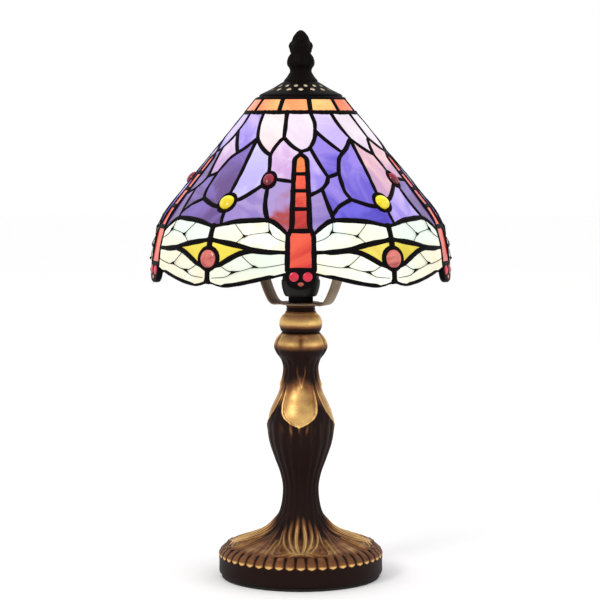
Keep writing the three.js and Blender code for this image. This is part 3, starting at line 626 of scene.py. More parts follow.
def drawCartoon():
    # three neighbouring units, cut into triangles along every lead line
    marks, edges, kinds = [], [], []
    scale = np.array((cartoon["mmPerDegree"], 1))
    lines = closeEnds(unitLines())
    for unit in (-1, 0, 1):
        for line, kind in lines:
            start = len(marks)
            marks += [(angle + unit * unitAngle, level) for angle, level in line]
            edges += [(start + k, start + k + 1) for k in range(len(line) - 1)]
            kinds += [kind] * (len(line) - 1)
    drawn = np.array(marks) * scale
    grid = [(angle, level) for angle in np.arange(-56, 57, 2.4) for level in np.arange(3, 109, 3.6)]
    grid = [p for p in grid if np.hypot(*(drawn - p * scale).T).min() > cartoon["clear"]]
    flat = [Vector(p * scale) for p in marks + grid]
    points, found, faces, _, sources, _ = delaunay_2d_cdt(flat, edges, [], 0, 1e-4)
    points = np.array([tuple(p) for p in points]) / scale
    leads = {(min(pair), max(pair)): kinds[min(source)] for pair, source in zip(found, sources) if source}
    tails = leads
    while tails:                    # short tails past a crossing are cut off
        uses = np.bincount(np.array(list(leads)).ravel(), minlength=len(points))
        tails = [(a, b) for a, b in leads if 1 in (uses[a], uses[b])
                 and np.hypot(*((points[a] - points[b]) * scale)) < cartoon["tail"]]
        for edge in tails:
            del leads[edge]
    return points, [tuple(f) for f in faces], leads


def sidesOf(face):
    return [(min(a, b), max(a, b)) for a, b in zip(face, face[1:] + face[:1])]


def splitPanes(points, faces, leads):
    # triangles joined across every edge that isn't a lead line, with the pane's middle; open panes are left out
    users = {}
    for index, face in enumerate(faces):
        for side in sidesOf(face):
            users.setdefault(side, []).append(index)
    seen, found = set(), []
    for first in range(len(faces)):
        if first in seen:
            continue
        seen.add(first)
        members, waiting, leaks = [], [first], False
        while waiting:
            members.append(waiting.pop())
            for side in sidesOf(faces[members[-1]]):
                if side not in leads:
                    leaks = leaks or len(users[side]) == 1
                    fresh = [other for other in users[side] if other not in seen]
                    seen.update(fresh)
                    waiting += fresh
        corners = np.array([[points[i] for i in faces[m]] for m in members])
        one, two = corners[:, 1] - corners[:, 0], corners[:, 2] - corners[:, 0]
        area = np.abs(one[:, 0] * two[:, 1] - one[:, 1] * two[:, 0]) / 2
        middle = (corners.mean(1) * area[:, None]).sum(0) / max(area.sum(), 1e-9)
        if not leaks and area.sum() > 2.5 and -36.2 <= middle[0] < 35.8:
            found.append(([faces[m] for m in members], middle))
    return found


points2d, triangles, leadEdges = drawCartoon()
panes = splitPanes(points2d, triangles, leadEdges)
print("cartoon drawn:", len(panes), "panes in a unit,", len(leadEdges), "lead steps")

glassColours = {
    "white": ((242, 230, 242), (230, 212, 232)),
    "blush": ((246, 228, 230), (240, 206, 214)),
    "paleLilac": ((226, 208, 244), (196, 176, 240)),
    "lilac": ((196, 174, 240), (150, 130, 226)),
    "orchid": ((226, 200, 234), (198, 158, 212)),
    "rose": ((234, 190, 194), (196, 150, 188)),
    "violet": ((150, 128, 228), (100, 82, 204)),
    "blue": ((104, 90, 214), (66, 50, 176)),
    "plum": ((122, 96, 178), (92, 60, 128)),
    "mist": ((212, 206, 246), (186, 174, 236)),
    "cream": ((238, 245, 228), (236, 228, 200)),
    "frost": ((228, 240, 230), (236, 238, 214)),
    "yellow": ((232, 216, 70), (208, 178, 36)),
    "band": ((255, 196, 116), (250, 134, 84)),
    "bandDeep": ((250, 132, 84), (232, 74, 44)),
    "red": ((240, 88, 58), (204, 38, 30)),
    "deepRed": ((206, 46, 34), (150, 20, 20)),
    "flame": ((252, 136, 64), (236, 74, 40)),
    "dusk": ((170, 146, 208), (132, 110, 190)),
}

# pane by pane: middle in the cartoon, and its glass in the front unit, its two neighbours and the rest
paneChoice = [
    ((-24.6, 99.3), "field", "blush", "white", "lilac", ("white", "paleLilac")),
    ((-0.6, 99.2), "field", "white", "white", "lilac", ("white", "paleLilac")),
    ((24.4, 99.0), "field", "paleLilac", "paleLilac", "lilac", ("white", "lilac")),
    ((15.8, 83.0), "field", "violet", "lilac", "orchid", ("lilac", "orchid")),
    ((-10.2, 79.6), "field", "orchid", "rose", "plum", ("orchid", "lilac")),
    ((-26.9, 72.8), "field", "mist", "rose", "mist", ("rose", "mist")),
    ((7.2, 72.1), "field", "lilac", "plum", "plum", ("lilac", "violet")),
    ((30.3, 70.0), "field", "violet", "violet", "plum", ("violet", "blue")),
    ((16.1, 59.4), "field", "violet", "plum", "plum", ("blue", "violet")),
    ((-8.9, 52.9), "field", "dusk", "plum", "violet", ("lilac", "violet")),
    ((-23.0, 50.2), "field", "dusk", "lilac", "lilac", ("lilac", "violet")),
    ((7.5, 48.3), "field", "dusk", "plum", "plum", ("violet", "plum")),
    ((26.7, 46.4), "field", "blue", "plum", "plum", ("blue", "plum")),
    ((0.0, 76.3), "body", "flame", "red", "red", ("flame", "red")),
    ((0.0, 65.7), "body", "red", "red", "red", ("red", "flame")),
    ((0.0, 55.0), "body", "red", "deepRed", "red", ("red",)),
    ((0.0, 42.8), "body", "deepRed", "red", "red", ("deepRed", "red")),
    ((0.0, 24.0), "body", "red", "red", "red", ("red",)),
    ((18.5, 33.4), "wing", "frost", "cream", "frost", ("cream", "frost")),
    ((-18.5, 33.4), "wing", "cream", "frost", "cream", ("cream", "frost")),
    ((-19.8, 13.1), "wing", "frost", "cream", "cream", ("cream", "frost")),
    ((19.8, 13.1), "wing", "cream", "cream", "cream", ("cream",)),
    ((-29.0, 24.4), "wing", "yellow", "yellow", "yellow", ("yellow",)),
    ((29.0, 24.4), "wing", "yellow", "yellow", "yellow", ("yellow",)),
]
chance = random.Random(7)
# red-brown glass runs into one pane's lower corner
streak = {
    "at": (-8.9, 52.9), "units": (0, 2), "colour": (172, 60, 62), "corner": (-10, 48), "slope": 0.67, "edge": 1.8}
paneBlend = {                 # how panes run from their first colour to their second
    "start": 0.42,
    "pale": 0.6,
    "rich": 0.95,
    "paleNames": ("cream", "yellow"),
    "across": 16,             # mm
    "down": 26,
}
paneDepth = {"front": 0.08, "tuck": 0.85, "bulge": 0.7}


def chooseGlass(middle, unit):
    gaps = [math.dist(row[0], middle) for row in paneChoice]
    if min(gaps) > 2.5:
        return None, None
    _, kind, front, right, left, others = paneChoice[gaps.index(min(gaps))]
    return kind, {0: front, 1: right, -1: left}.get(unit) or chance.choice(others)


def paneShell(faces, unit):
    # one closed pane: its front, its back and its edge, with its place in the cartoon
    used = sorted({i for face in faces for i in face})
    order = {i: k for k, i in enumerate(used)}
    flat = points2d[used]
    front = shadePoints(flat[:, 0] + unit * unitAngle, flat[:, 1], -paneDepth["front"])
    centre = front.mean(0)
    normal = np.linalg.svd(front - centre)[2][2]
    normal = normal * np.sign(normal @ np.array([centre[0], centre[1], 20.0]))
    off = np.clip((front - centre) @ normal, -paneDepth["bulge"], paneDepth["bulge"]) * shadeSize["flatness"]
    tuck = paneDepth["tuck"] * np.clip(-off, 0, None).max()            # its edges stay under the lead
    front = front - normal * (off + tuck)[:, None]
    back = front - normal * (shadeSize["glass"] - 0.1)
    count = len(used)
    shell = [tuple(order[i] for i in face) for face in faces]
    walked = {pair for face in shell for pair in zip(face, face[1:] + face[:1])}
    rim = [(a, b) for a, b in walked if (b, a) not in walked]
    shell += [tuple(count + i for i in face[::-1]) for face in shell]
    shell += [(b, a, count + a, count + b) for a, b in sorted(rim)]
    return np.concatenate([front, back]), shell, np.tile(flat, (2, 1))


def blendAcross(points, levels, middle, unit, name):
    # where a pane runs from its first glass colour to its second
    turn = math.radians(middle[0] + unit * unitAngle)
    across = points @ np.array([math.cos(turn), math.sin(turn), 0]) / paneBlend["across"]
    across = across - across.mean()
    down = (levels.mean() - levels) / paneBlend["down"]
    lean = chance.uniform(-0.5, 0.5)
    strength = paneBlend["pale" if name in paneBlend["paleNames"] else "rich"]
    return np.clip(paneBlend["start"] + (down + across * lean) * strength, 0, 1)


def glassSolid(points, faces, colours, blend, shift, tone=1.0):
    tints = [np.tile(linear(colour) * tone, (len(points), 1)) for colour in colours]
    return points, faces, *tints, np.full(len(points), shift), blend


def makeGlassPiece(name, solids, finish, replaced, smooth=False):
    points, faces, *paints = zip(*solids)
    mesh = toMesh(name, *mergeParts(zip(points, faces)), smooth)
    labels = (("tint", "FLOAT_COLOR"), ("secondTint", "FLOAT_COLOR"), ("shift", "FLOAT"), ("blend", "FLOAT"))
    for (label, kind), values in zip(labels, paints):
        store(mesh, label, np.concatenate(values), kind)
    addPiece(name, mesh, finish, "shade", replaced)


def makePanes():
    solids = {"field": [], "wing": [], "body": []}
    for unit in (-2, -1, 0, 1, 2):
        for faces, middle in panes:
            kind, name = chooseGlass(middle, unit)
            if kind is None:
                continue
            points, shell, flat = paneShell(faces, unit)
            blend = blendAcross(points, flat[:, 1], middle, unit, name)
            colours = glassColours[name]
            if math.dist(middle, streak["at"]) < 1 and unit in streak["units"]:
                colours = (colours[0], streak["colour"])
                above = flat - streak["corner"]
                blend = np.clip((above[:, 0] * streak["slope"] - above[:, 1]) / streak["edge"], 0, 1)
            shift, tone = chance.uniform(0.2, 6.0), chance.uniform(0.93, 1.04)
            solids[kind].append(glassSolid(points, shell, colours, blend, shift, tone))
    wings = [f"wing_glass_{k}_{side}" for k in range(1, 6) for side in ("left", "right")]
    makeGlassPiece("field_panes", solids["field"], "field", numbered("field_glass", 5))
    makeGlassPiece("wing_panes", solids["wing"], "wing", wings)
    makeGlassPiece("body_panes", solids["body"], "body", numbered("dragonfly_body_glass", 5))


band = {"panes": 11, "firstDivider": 10.0, "low": 110.0, "high": 119.2, "columns": 12, "rows": 4, "topLead": 118.9}


def makeBand():
    width = 360 / band["panes"]
    rows, columns = band["rows"] + 1, band["columns"] + 1
    levels = np.linspace(band["low"], band["high"], rows)
    number = np.arange(rows * columns).reshape(rows, columns)
    ring = [*number[0], *number[1:, -1], *number[-1, -2::-1], *number[-2:0:-1, 0]]
    faces = gridFaces(rows, columns, False)
    faces += [tuple(i + number.size for i in face[::-1]) for face in faces]
    faces += [(b, a, a + number.size, b + number.size) for a, b in zip(ring, ring[1:] + ring[:1])]
    solids = []
    for pane in range(band["panes"]):
        angles = band["firstDivider"] + width * (pane + np.linspace(0, 1, columns))
        sheets = [shadePoints(angles[None, :], levels[:, None], depth) for depth in (-0.1, -shadeSize["glass"])]
        middle = (angles.mean() + 180) % 360 - 180
        name = "bandDeep" if abs(middle) > 52 and chance.random() < 0.7 else "band"
        across = np.tile(np.linspace(-1, 1, columns), rows * 2)
        blend = np.clip(0.35 + across * chance.uniform(-0.4, 0.4), 0, 1)
        points = np.concatenate(sheets).reshape(-1, 3)
        solids.append(glassSolid(points, faces, glassColours[name], blend, chance.uniform(0.2, 6.0)))
    makeGlassPiece("band_panes", solids, "band", numbered("band_glass", 11))


def jewelSolid(angle, level, wide, high, rise, pointed, facet):
    # a polished cabochon with a rounded front and a flat back
    middle = shadePoints(angle, level, 0.0)
    right = shadePoints(angle + 0.5, level, 0.0) - shadePoints(angle - 0.5, level, 0.0)
    up = shadePoints(angle, level + 0.8, 0.0) - shadePoints(angle, level - 0.8, 0.0)
    right, up = right / np.linalg.norm(right), up / np.linalg.norm(up)
    out = np.cross(right, up)
    turns = np.arange(28) * 2 * math.pi / 28
    x, y = np.cos(turns), np.sin(turns)
    if pointed:                     # wide above, pointed below
        x = x * (1 - 0.55 * np.clip(-y, 0, None) ** 1.2)
    flat = np.outer(x * wide, right) + np.outer(y * high, up)
    sections = [(1.0, -shadeSize["glass"]), (1.0, 0.1)]
    sections += [(math.cos(t), 0.1 + rise * math.sin(t)) for t in np.linspace(0.18, 1.38, 7)]
    rings = []
    for share, depth in sections:
        ripple = 1 + facet * np.cos(8 * turns) * (1 - share)
        rings.append(middle + flat * (share * ripple)[:, None] + out * depth)
    return closedRings(rings, middle - out * shadeSize["glass"], middle + out * (0.1 + rise))


def makeJewels():
    solids = []
    for unit in range(units):
        for jewel in jewels.values():
            angle, level = jewel["at"]
            points, faces = jewelSolid(angle + unit * unitAngle, level, *jewel["size"], jewel["rise"],
                                       jewel.get("pointed", False), jewel.get("facet", 0.0))
            blend = np.clip(0.45 - (points[:, 2] - points[:, 2].mean()) / 10, 0, 1)
            solids.append(glassSolid(points, faces, jewel["colours"], blend, chance.uniform(0.2, 6.0)))
    makeGlassPiece("jewels", solids, "jewel", numbered("pink_jewel", 5), True)


def endTree(tree, given, result, geometry, smooth=False):
    whole = addNode(tree, "GeometryNodeRealizeInstances", {"Geometry": geometry}).outputs[0]
    if smooth:
        whole = addNode(tree, "GeometryNodeSetShadeSmooth", {"Geometry": whole}).outputs[0]
    coated = addNode(tree, "GeometryNodeSetMaterial", {"Geometry": whole, "Material": given["Material"]})
    connect(tree, result, {0: coated.outputs[0]})
    return tree


def namedValue(tree, name, kind):
    return addNode(tree, "GeometryNodeInputNamedAttribute", {"Name": name}, data_type=kind).outputs["Attribute"]


def leadTree():
    # a wire along every edge, with a drop of solder where three or more meet
    tree, given, result = newGroup("leadBeads", "GeometryNodeTree", {
        "Geometry": "Geometry", "Sides": 8, "Solder": 1.2, "Material": "Material"}, {"Geometry": "Geometry"})
    size, meets = namedValue(tree, "beadRadius", "FLOAT"), namedValue(tree, "meets", "BOOLEAN")
    wire = addNode(tree, "GeometryNodeMeshToCurve", {"Mesh": given["Geometry"]})
    sized = addNode(tree, "GeometryNodeSetCurveRadius", {"Curve": wire.outputs[0], "Radius": size})
    ring = addNode(tree, "GeometryNodeCurvePrimitiveCircle", {"Resolution": given["Sides"], "Radius": 1.0})
    tube = addNode(tree, "GeometryNodeCurveToMesh", {
        "Curve": sized.outputs[0], "Profile Curve": ring.outputs[0], "Scale": size, "Fill Caps": True})
    ball = addNode(tree, "GeometryNodeMeshIcoSphere", {"Radius": 1.0, "Subdivisions": 2})
    drops = addNode(tree, "GeometryNodeInstanceOnPoints", {
        "Points": given["Geometry"], "Selection": meets, "Instance": ball.outputs[0],
        "Scale": maths(tree, "MULTIPLY", size, given["Solder"])})
    joined = tree.nodes.new("GeometryNodeJoinGeometry")
    for part in (tube, drops):
        tree.links.new(part.outputs[0], joined.inputs[0])
    return endTree(tree, given, result, joined.outputs[0], True)


leadNodes = leadTree()


def growMesh(name, source, tree, values):
    # the mesh that a node tree makes from a source mesh
    helper = addObject(name + "Source", source)
    modifier = helper.modifiers.new("grow", "NODES")
    modifier.node_group = tree
    for item in tree.interface.items_tree:
        if item.item_type == "SOCKET" and item.in_out == "INPUT" and item.name in values:
            modifier[item.identifier] = values[item.name]
    graph = bpy.context.evaluated_depsgraph_get()
    mesh = bpy.data.meshes.new_from_object(helper.evaluated_get(graph), depsgraph=graph)
    mesh.name = name
    helper.modifiers.remove(modifier)
    bpy.data.objects.remove(helper)
    return mesh


def wireMesh(name, lines):
    # lines of [degrees, level, depth, wire radius] points, welded where they meet
    places, points, edges = {}, [], set()
    for line in lines:
        numbers = []
        for angle, level, depth, radius in line:
            place = (round((angle % 360) / 0.12) % 3000, round(level / 0.1), round(depth / 0.1))
            if place not in places:
                places[place] = len(points)
                points.append([angle, level, depth, radius])
            number = places[place]
            points[number][3] = max(points[number][3], radius)
            numbers.append(number)
        edges |= {(min(pair), max(pair)) for pair in zip(numbers, numbers[1:]) if pair[0] != pair[1]}
    angle, level, depth, radius = np.array(points).T
    mesh = bpy.data.meshes.new(name)
    mesh.from_pydata((shadePoints(angle, level, depth) * mm).tolist(), sorted(edges), [])
    store(mesh, "beadRadius", radius * mm)
    store(mesh, "meets", np.bincount(np.array(list(edges)).ravel(), minlength=len(points)) >= 3, "BOOLEAN")
    return mesh


def makeWires(name, lines, sides, solder):
    mesh = growMesh(name, wireMesh(name + "Lines", lines), leadNodes, {
        "Sides": sides, "Solder": solder, "Material": finishes["lead"]})
    addPiece(name, mesh, None, "shade", ["shade_lead"])


def leadLines(inside):
    # every lead line of the shade on its outer or inner face
    depth = cartoon["innerSink"] - shadeSize["glass"] if inside else -cartoon["sink"]
    share = cartoon["innerShare"] if inside else 1
    sizes = {kind: cartoon[kind + "Radius"] * share for kind in ("lead", "body", "wing", "gap", "rim", "frame")}
    lines = []
    for unit in range(units):
        for ends, kind in leadEdges.items():
            angles, levels = points2d[list(ends)].T
            underHead = kind == "body" and levels.max() < 11
            if -36.01 <= angles.mean() < 35.99 and not underHead:
                radii = sizes[kind] + cartoon["wave"] * np.sin(angles * 0.9 + levels * 0.7 + unit)
                lines.append([(a + unit * unitAngle, b, depth, r) for a, b, r in zip(angles, levels, radii)])
    for k in range(band["panes"]):
        angle = band["firstDivider"] + 360 / band["panes"] * k
        levels = np.linspace(band["low"], band["topLead"], 6)
        lines.append([(angle, level, depth, sizes["frame"]) for level in levels])
    lines.append([(angle, band["topLead"], depth, sizes["frame"] - 0.2) for angle in range(0, 361, 3)])
    return lines


# fine soldered wires on the wings, with small flat drops
veins = {
    "radius": 0.24,
    "lift": 0.02,
    "dropRise": 0.55,
    "dropSlope": 0.22,
    "solder": 1.1,
    "lines": [
        [(5.0, 28.9), (9.2, 31.5), (11.7, 35.2), (12.6, 42.0)],
        [(11.7, 35.2), (16.7, 34.3), (21.4, 32.5), (24.5, 28.4)],
        [(21.4, 32.5), (26.7, 40.8)],
        [(5.2, 16.1), (10.7, 14.3), (16.7, 13.9), (23.0, 22.2)],
        [(16.7, 13.9), (21.7, 11.3), (25.5, 9.8)],
        [(22.2, 11.1), (26.7, 10.7), (30.4, 13.9)],
        [(25.5, 9.8), (28.2, 7.1), (33.9, 6.1)],
    ],
    "drops": [(11.7, 35.2), (21.4, 32.5), (16.7, 13.9), (25.5, 9.8)],
}


def veinLines():
    lines = []
    for unit, sign, line in ((u, s, row) for u in range(units) for s in (1, -1) for row in veins["lines"]):
        lines.append([])
        for angle, level in spread(line, sign):
            near = min(math.hypot((abs(angle) - a) * 1.7, level - b) for a, b in veins["drops"])
            radius = veins["radius"] + max(0.0, veins["dropRise"] - near * veins["dropSlope"])
            lines[-1].append((angle + unit * unitAngle, level, veins["lift"], radius))
    return lines


head = {                      # a soldered plate below the wings; its section is share of the outline, depth
    "outline": [(0, -0.2), (3.0, 0.8), (4.6, 3.0), (5.4, 6.0), (5.6, 9.0), (5.2, 12.2)],
    "section": [(0.05, -3.2), (0.9, -3.2), (1.0, -2.7), (1.0, 0.1), (0.94, 0.5), (0.8, 0.75), (0.05, 0.65)],
    "middle": (0, 6.6),
}


def makeHeads():
    side = np.array(smoothLine(head["outline"], 0.6))
    width, top = side[-1]
    across = [(x, top) for x in np.linspace(width, -width, 12)[1:-1]]
    outline = np.array([*side, *across, *(side[:0:-1] * (-1, 1))])
    middle = np.array(head["middle"])
    parts = []
    for turn in range(0, 360, unitAngle):
        rings = []
        for share, depth in head["section"]:
            ring = middle + (outline - middle) * share
            rings.append(shadePoints(ring[:, 0] + turn, ring[:, 1], depth))
        ends = [shadePoints(turn, middle[1], head["section"][k][1]) for k in (0, -1)]
        parts.append(closedRings(rings, *ends))
    mesh = toMesh("dragonfly_heads", *mergeParts(parts))
    addPiece("dragonfly_heads", mesh, "lead", "shade", ["shade_lead"])


makePanes()
makeBand()
makeJewels()
makeWires("lead_outer", leadLines(False), 8, cartoon["solder"])
makeWires("lead_inner", leadLines(True), 6, cartoon["solder"])
makeWires("wing_veins", veinLines(), 6, veins["solder"])
makeHeads()
print("shade made")

casting = {
    "footSides": 480,
    "columnSides": 300,
    "petals": 4,
    "petalTurn": -3.0,          # degrees, the front petal's middle
    "petalDepth": 0.7,          # mm the bright petal lies below the dark leaf round it
    "petalRim": 0.3,
    "lobes": 5,
    "grooveDepth": 1.5,
    "gadroons": 48,
    "gadroonHeight": 0.75,
    "veinHeight": 1.0,
    "split": 58.0,              # height where the foot ends and the column starts
}
# lines are radius, height
footInner = [
    (8.5, 58), (9.8, 46), (15.5, 36), (24.5, 27.5), (34, 23), (44, 19.5), (50, 16.5), (51.5, 12), (51.5, 2.3)]
columnInner = [
    (9.4, 163.5), (9.4, 152), (8.0, 142), (8.6, 130), (15, 114), (19, 101.5), (14, 84), (9.4, 68), (8.5, 58)]
castingLine = [
    (53.4, 2.3), (54.6, 4.0), (54.6, 8.0), (54.6, 12.0), (54.9, 14.5), (54.6, 16.5), (53.0, 19.0), (49.6, 21.2),
    (45.0, 22.8), (35.8, 26.0), (26.8, 29.9), (19.1, 35.7), (13.7, 44.6), (11.7, 58.0), (13.3, 68.9), (17.2, 79.8),
    (20.7, 90.6), (22.2, 101.5), (21.8, 109.2), (18.9, 116.9), (15.0, 124.6), (12.0, 132.3), (10.9, 140.0),
    (12.4, 144.8), (15.4, 149.2), (17.2, 152.8), (17.5, 155.0), (16.7, 158.2), (14.6, 161.4), (12.9, 163.5)]


def wrap(angle, period):
    return (angle + period / 2) % period - period / 2


def wave(degrees):
    return np.cos(np.radians(degrees))


def bump(distance, width):
    return np.exp(-(distance / width) ** 2)


def step(value, low, high):
    t = np.clip((value - low) / (high - low), 0, 1)
    return t * t * (3 - 2 * t)


def span(value, low, high, endLow, endHigh):
    return step(value, low, high) * (1 - step(value, endLow, endHigh))


def nearLine(x, y, line):
    # the distance from points to a line of [x, y] points
    best = np.full(x.shape, 1e9)
    for a, b in zip(line, line[1:]):
        run = np.subtract(b, a)
        share = np.clip(((x - a[0]) * run[0] + (y - a[1]) * run[1]) / (run @ run), 0, 1)
        best = np.minimum(best, np.hypot(x - a[0] - run[0] * share, y - a[1] - run[1] * share))
    return best


# raised veins of the foot's leaf, in degrees from the leaf's middle and mm from the axis, with width and strength
footVeins = [
    ([(6.5, 13.0), (6.8, 24), (4.6, 34), (1.3, 45)], 1.25, 1.0),
    ([(20, 13.6), (18.5, 22), (11.5, 33), (3.6, 44.6)], 1.2, 0.9),
    ([(33, 14.6), (28, 22), (21.5, 30), (15.5, 37), (8.5, 43.5)], 1.0, 0.9),
    ([(0, 45.4), (5, 46.0), (11, 48.9), (18, 51.2), (25, 50.4), (28.5, 46.2), (29.5, 40), (31, 31)], 0.75, 1.0),
    ([(4, 43.4), (9, 44.0), (15, 47.2), (21, 48.0), (24, 44.5), (24.5, 38.5), (25.5, 31), (31, 22)], 0.7, 0.9),
    ([(9.5, 42.0), (14, 43.0), (18, 44.2), (20, 40.5), (20, 35)], 0.6, 0.7),
    ([(44.9, 15), (40, 28), (34, 38), (32.5, 47.5)], 1.1, 0.6),
    ([(45, 24), (41, 37), (38.5, 49.0)], 1.0, 0.5),
    ([(45, 34), (45, 50)], 1.0, 0.5),
]


def ribsAt(angle, height):
    return wave(angle * 20 + 8 * np.sin(height * 0.06))


footZones = {                 # from and to, in mm of height or radius
    "top": (19, 21),
    "arch": (46.5, 48.5, 52.8, 54),
    "skin": (20, 40),
    "gildingEnds": (31, 45),
    "ribsStart": (36, 46),
    "gadroonBase": (13.5, 14.5),
    "gadroonRow": (13.8, 14.8),
    "gadroonInner": (46.5, 50.5),
    "gadroonShine": (15, 17),
    "rimDark": (13.8, 14.6),
}


def footRelief(angle, height, radius):
    # how far the foot's ornament stands out, and how much its gilding is rubbed bright, with a painted highlight on
    # the gadroons' tips
    leaf = wrap(angle, 90.0)
    x, y = radius * np.sin(np.radians(np.abs(leaf))), radius * wave(leaf)
    relief, rubAndSheen = np.zeros(radius.shape), np.zeros(radius.shape)
    onTop = step(height, *footZones["top"])
    fan = bump(leaf, 32.0)
    for line, width, strength in footVeins:
        drawn = [(r * math.sin(math.radians(a)), r * math.cos(math.radians(a))) for a, r in smoothLine(line, 3.0)]
        ridge = bump(nearLine(x, y, drawn), width) * strength * onTop
        relief, rubAndSheen = np.maximum(relief, ridge * casting["veinHeight"]), np.maximum(rubAndSheen, ridge)
    arch = bump(leaf, 15.0) * span(radius, *footZones["arch"])
    relief -= 0.35 * arch
    skin = 0.5 + 0.12 * wave(angle * 19 + radius * 4) + 0.06 * np.sin(radius * 0.9)
    rubAndSheen = np.maximum(rubAndSheen * (0.66 + 0.38 * fan), skin * onTop * (1 - 0.8 * arch) * step(radius, *footZones["skin"]))
    gone = step(height + 7 * (1 - fan), *footZones["gildingEnds"])        # higher up over the fan
    high = step(height, *footZones["ribsStart"])
    relief = relief * (1 - high) + 0.3 * ribsAt(angle, height) * high
    rubAndSheen = rubAndSheen * (1 - gone) + 0.04 * high
    # gadroons round the edge, with a painted highlight on their round tips
    turn = np.abs(wrap(angle, 360.0 / casting["gadroons"])) / (180.0 / casting["gadroons"])
    down = np.clip((16.4 - height) / 2.0, 0, 1)                 # the rounded tip
    inward = np.clip((radius - 46.5) / 7.5, 0, 1) * step(height, *footZones["gadroonBase"])
    half = np.sqrt(np.clip(1 - down ** 2, 0, 1)) * (0.66 + 0.34 * inward)
    dome = np.sqrt(np.clip(1 - (turn / np.maximum(half, 0.02)) ** 2, 0, 1)) * step(inward, 0.02, 0.35)
    row = step(height, *footZones["gadroonRow"]) * step(radius, *footZones["gadroonInner"])
    relief += row * casting["gadroonHeight"] * (dome - 0.8)
    bright = step(dome, 0.2, 0.9) * (0.36 + 0.64 * (1 - step(height, *footZones["gadroonShine"])))
    rubAndSheen = (rubAndSheen * (1 - row) + row * bright) * step(height, *footZones["rimDark"]) + 0.01
    return relief, np.clip(rubAndSheen, 0, 1)


# the petal's edge: height, degrees from its middle
petalEdge = [
    (102.5, 0), (103.4, 7), (105, 15), (108, 26), (112, 34), (117, 38), (122, 40), (127, 41), (133, 44), (138, 48)]


columnZones = {               # from and to, in mm of height; four where the zone ends again
    "petalEnds": (133, 142), "edgeEnds": (124, 134), "hollowEnds": (120, 130), "fade": (125, 138),
    "shoulder": (103, 112), "strands": (100, 106, 122, 132), "ribsEnd": (104, 108), "ribShine": (80, 100),
    "throat": (124, 131, 144, 149), "tongue": (127, 128, 140, 147), "tongueRim": (127, 128.5, 138, 146),
    "knop": (145.5, 150.5, 160.5, 163), "knopLitGold": (151.5, 158), "neckDark": (162.4, 163.5),
}


def columnRelief(angle, height, radius):
    period = 360.0 / casting["petals"]
    petal = wrap(angle - casting["petalTurn"], period)
    levels, halves = np.array(petalEdge).T
    half = np.interp(height, levels, halves)
    inside = (half - np.abs(petal)) * radius * math.pi / 180          # mm in from the petal's edge
    inside = np.where(height < levels[0], -np.hypot(inside, levels[0] - height), inside)
    inside = np.minimum(inside, (height - levels[0]) * 0.85)
    body = step(inside, -0.3, 0.5) * (1 - step(height, *columnZones["petalEnds"]))
    edge = bump(inside - 0.3, 0.55) * (1 - step(height, *columnZones["edgeEnds"]))
    fade = step(height + 0.1 * np.abs(petal), *columnZones["fade"])
    hollow = body * step(inside, 0.4, 2.2) * (1 - step(height, *columnZones["hollowEnds"]))
    relief = casting["petalRim"] * edge - casting["petalDepth"] * hollow
    swell = 0.5 + 0.5 * wave(np.clip(petal * 3.2, -180, 180))
    rubAndSheen = body * (0.5 + 0.3 * swell) * (1 - 0.93 * fade) + edge * 0.5 * (1 - fade)
    # between two petals the dark leaf runs up into a gilded shoulder
    behind = wrap(angle - casting["petalTurn"] - period / 2, period)
    rise = step(height - 0.22 * (45 - np.abs(behind)), *columnZones["shoulder"]) * (1 - body)
    strands = wave(behind * 22 + (height - 104) * 5 * np.sign(behind))
    rubAndSheen += rise * (0.42 + 0.2 * strands) * (1 - fade)
    relief += 0.16 * strands * (1 - body) * span(height, *columnZones["strands"])
    # folds under the petal's tip, then ribs down to the waist
    below = (1 - body) * (1 - step(height, *columnZones["ribsEnd"]))
    folds = wave(petal * 24 + (104 - height) * 9 * np.sign(petal))
    foldZone = bump(height - 101.0, 3.2) * bump(petal, 24) * (1 - body)
    ribs = ribsAt(angle, height)
    relief += 0.35 * foldZone * folds + 0.3 * below * ribs
    rubAndSheen += 0.6 * foldZone * np.clip(folds - 0.3, 0, 1)
    rubAndSheen += below * (0.04 + 0.09 * np.clip(ribs, 0, 1) * step(height, *columnZones["ribShine"]))
    # the fluted throat, with a pointed leaf over each petal
    throat = span(height, *columnZones["throat"])
    relief += 0.3 * throat * wave(wrap(angle - 1.5, 22.5) * 16)
    tongue = np.abs(wrap(angle - 1.5, period)) * radius * math.pi / 180
    width = np.clip((height - 127.5) * 0.26, 0, 2.6)
    tongueRim = bump(tongue - width, 0.5) * span(height, *columnZones["tongueRim"])
    raised = step(width - tongue, -0.3, 0.4) * span(height, *columnZones["tongue"])
    relief += 0.6 * raised + 0.3 * tongueRim
    rubAndSheen += 0.26 * tongueRim + 0.03 * throat
    # the lobed knop, gilt with painted light above its widest line and painted shade below
    dip = bump(np.abs(wrap(angle, 360.0 / casting["lobes"])), 8.0)
    knop = span(height, *columnZones["knop"])
    relief += knop * (0.35 - casting["grooveDepth"] * dip)
    litGold = step(height + 1.2 * dip, *columnZones["knopLitGold"])
    rubAndSheen = np.where(height > 147, litGold * (0.9 - 0.4 * dip) + 0.04 * (1 - litGold), rubAndSheen)
    rubAndSheen = np.where(height > 160.5, rubAndSheen * (1 - 0.5 * step(height, *columnZones["neckDark"])), rubAndSheen)
    return relief, np.clip(rubAndSheen, 0, 1)


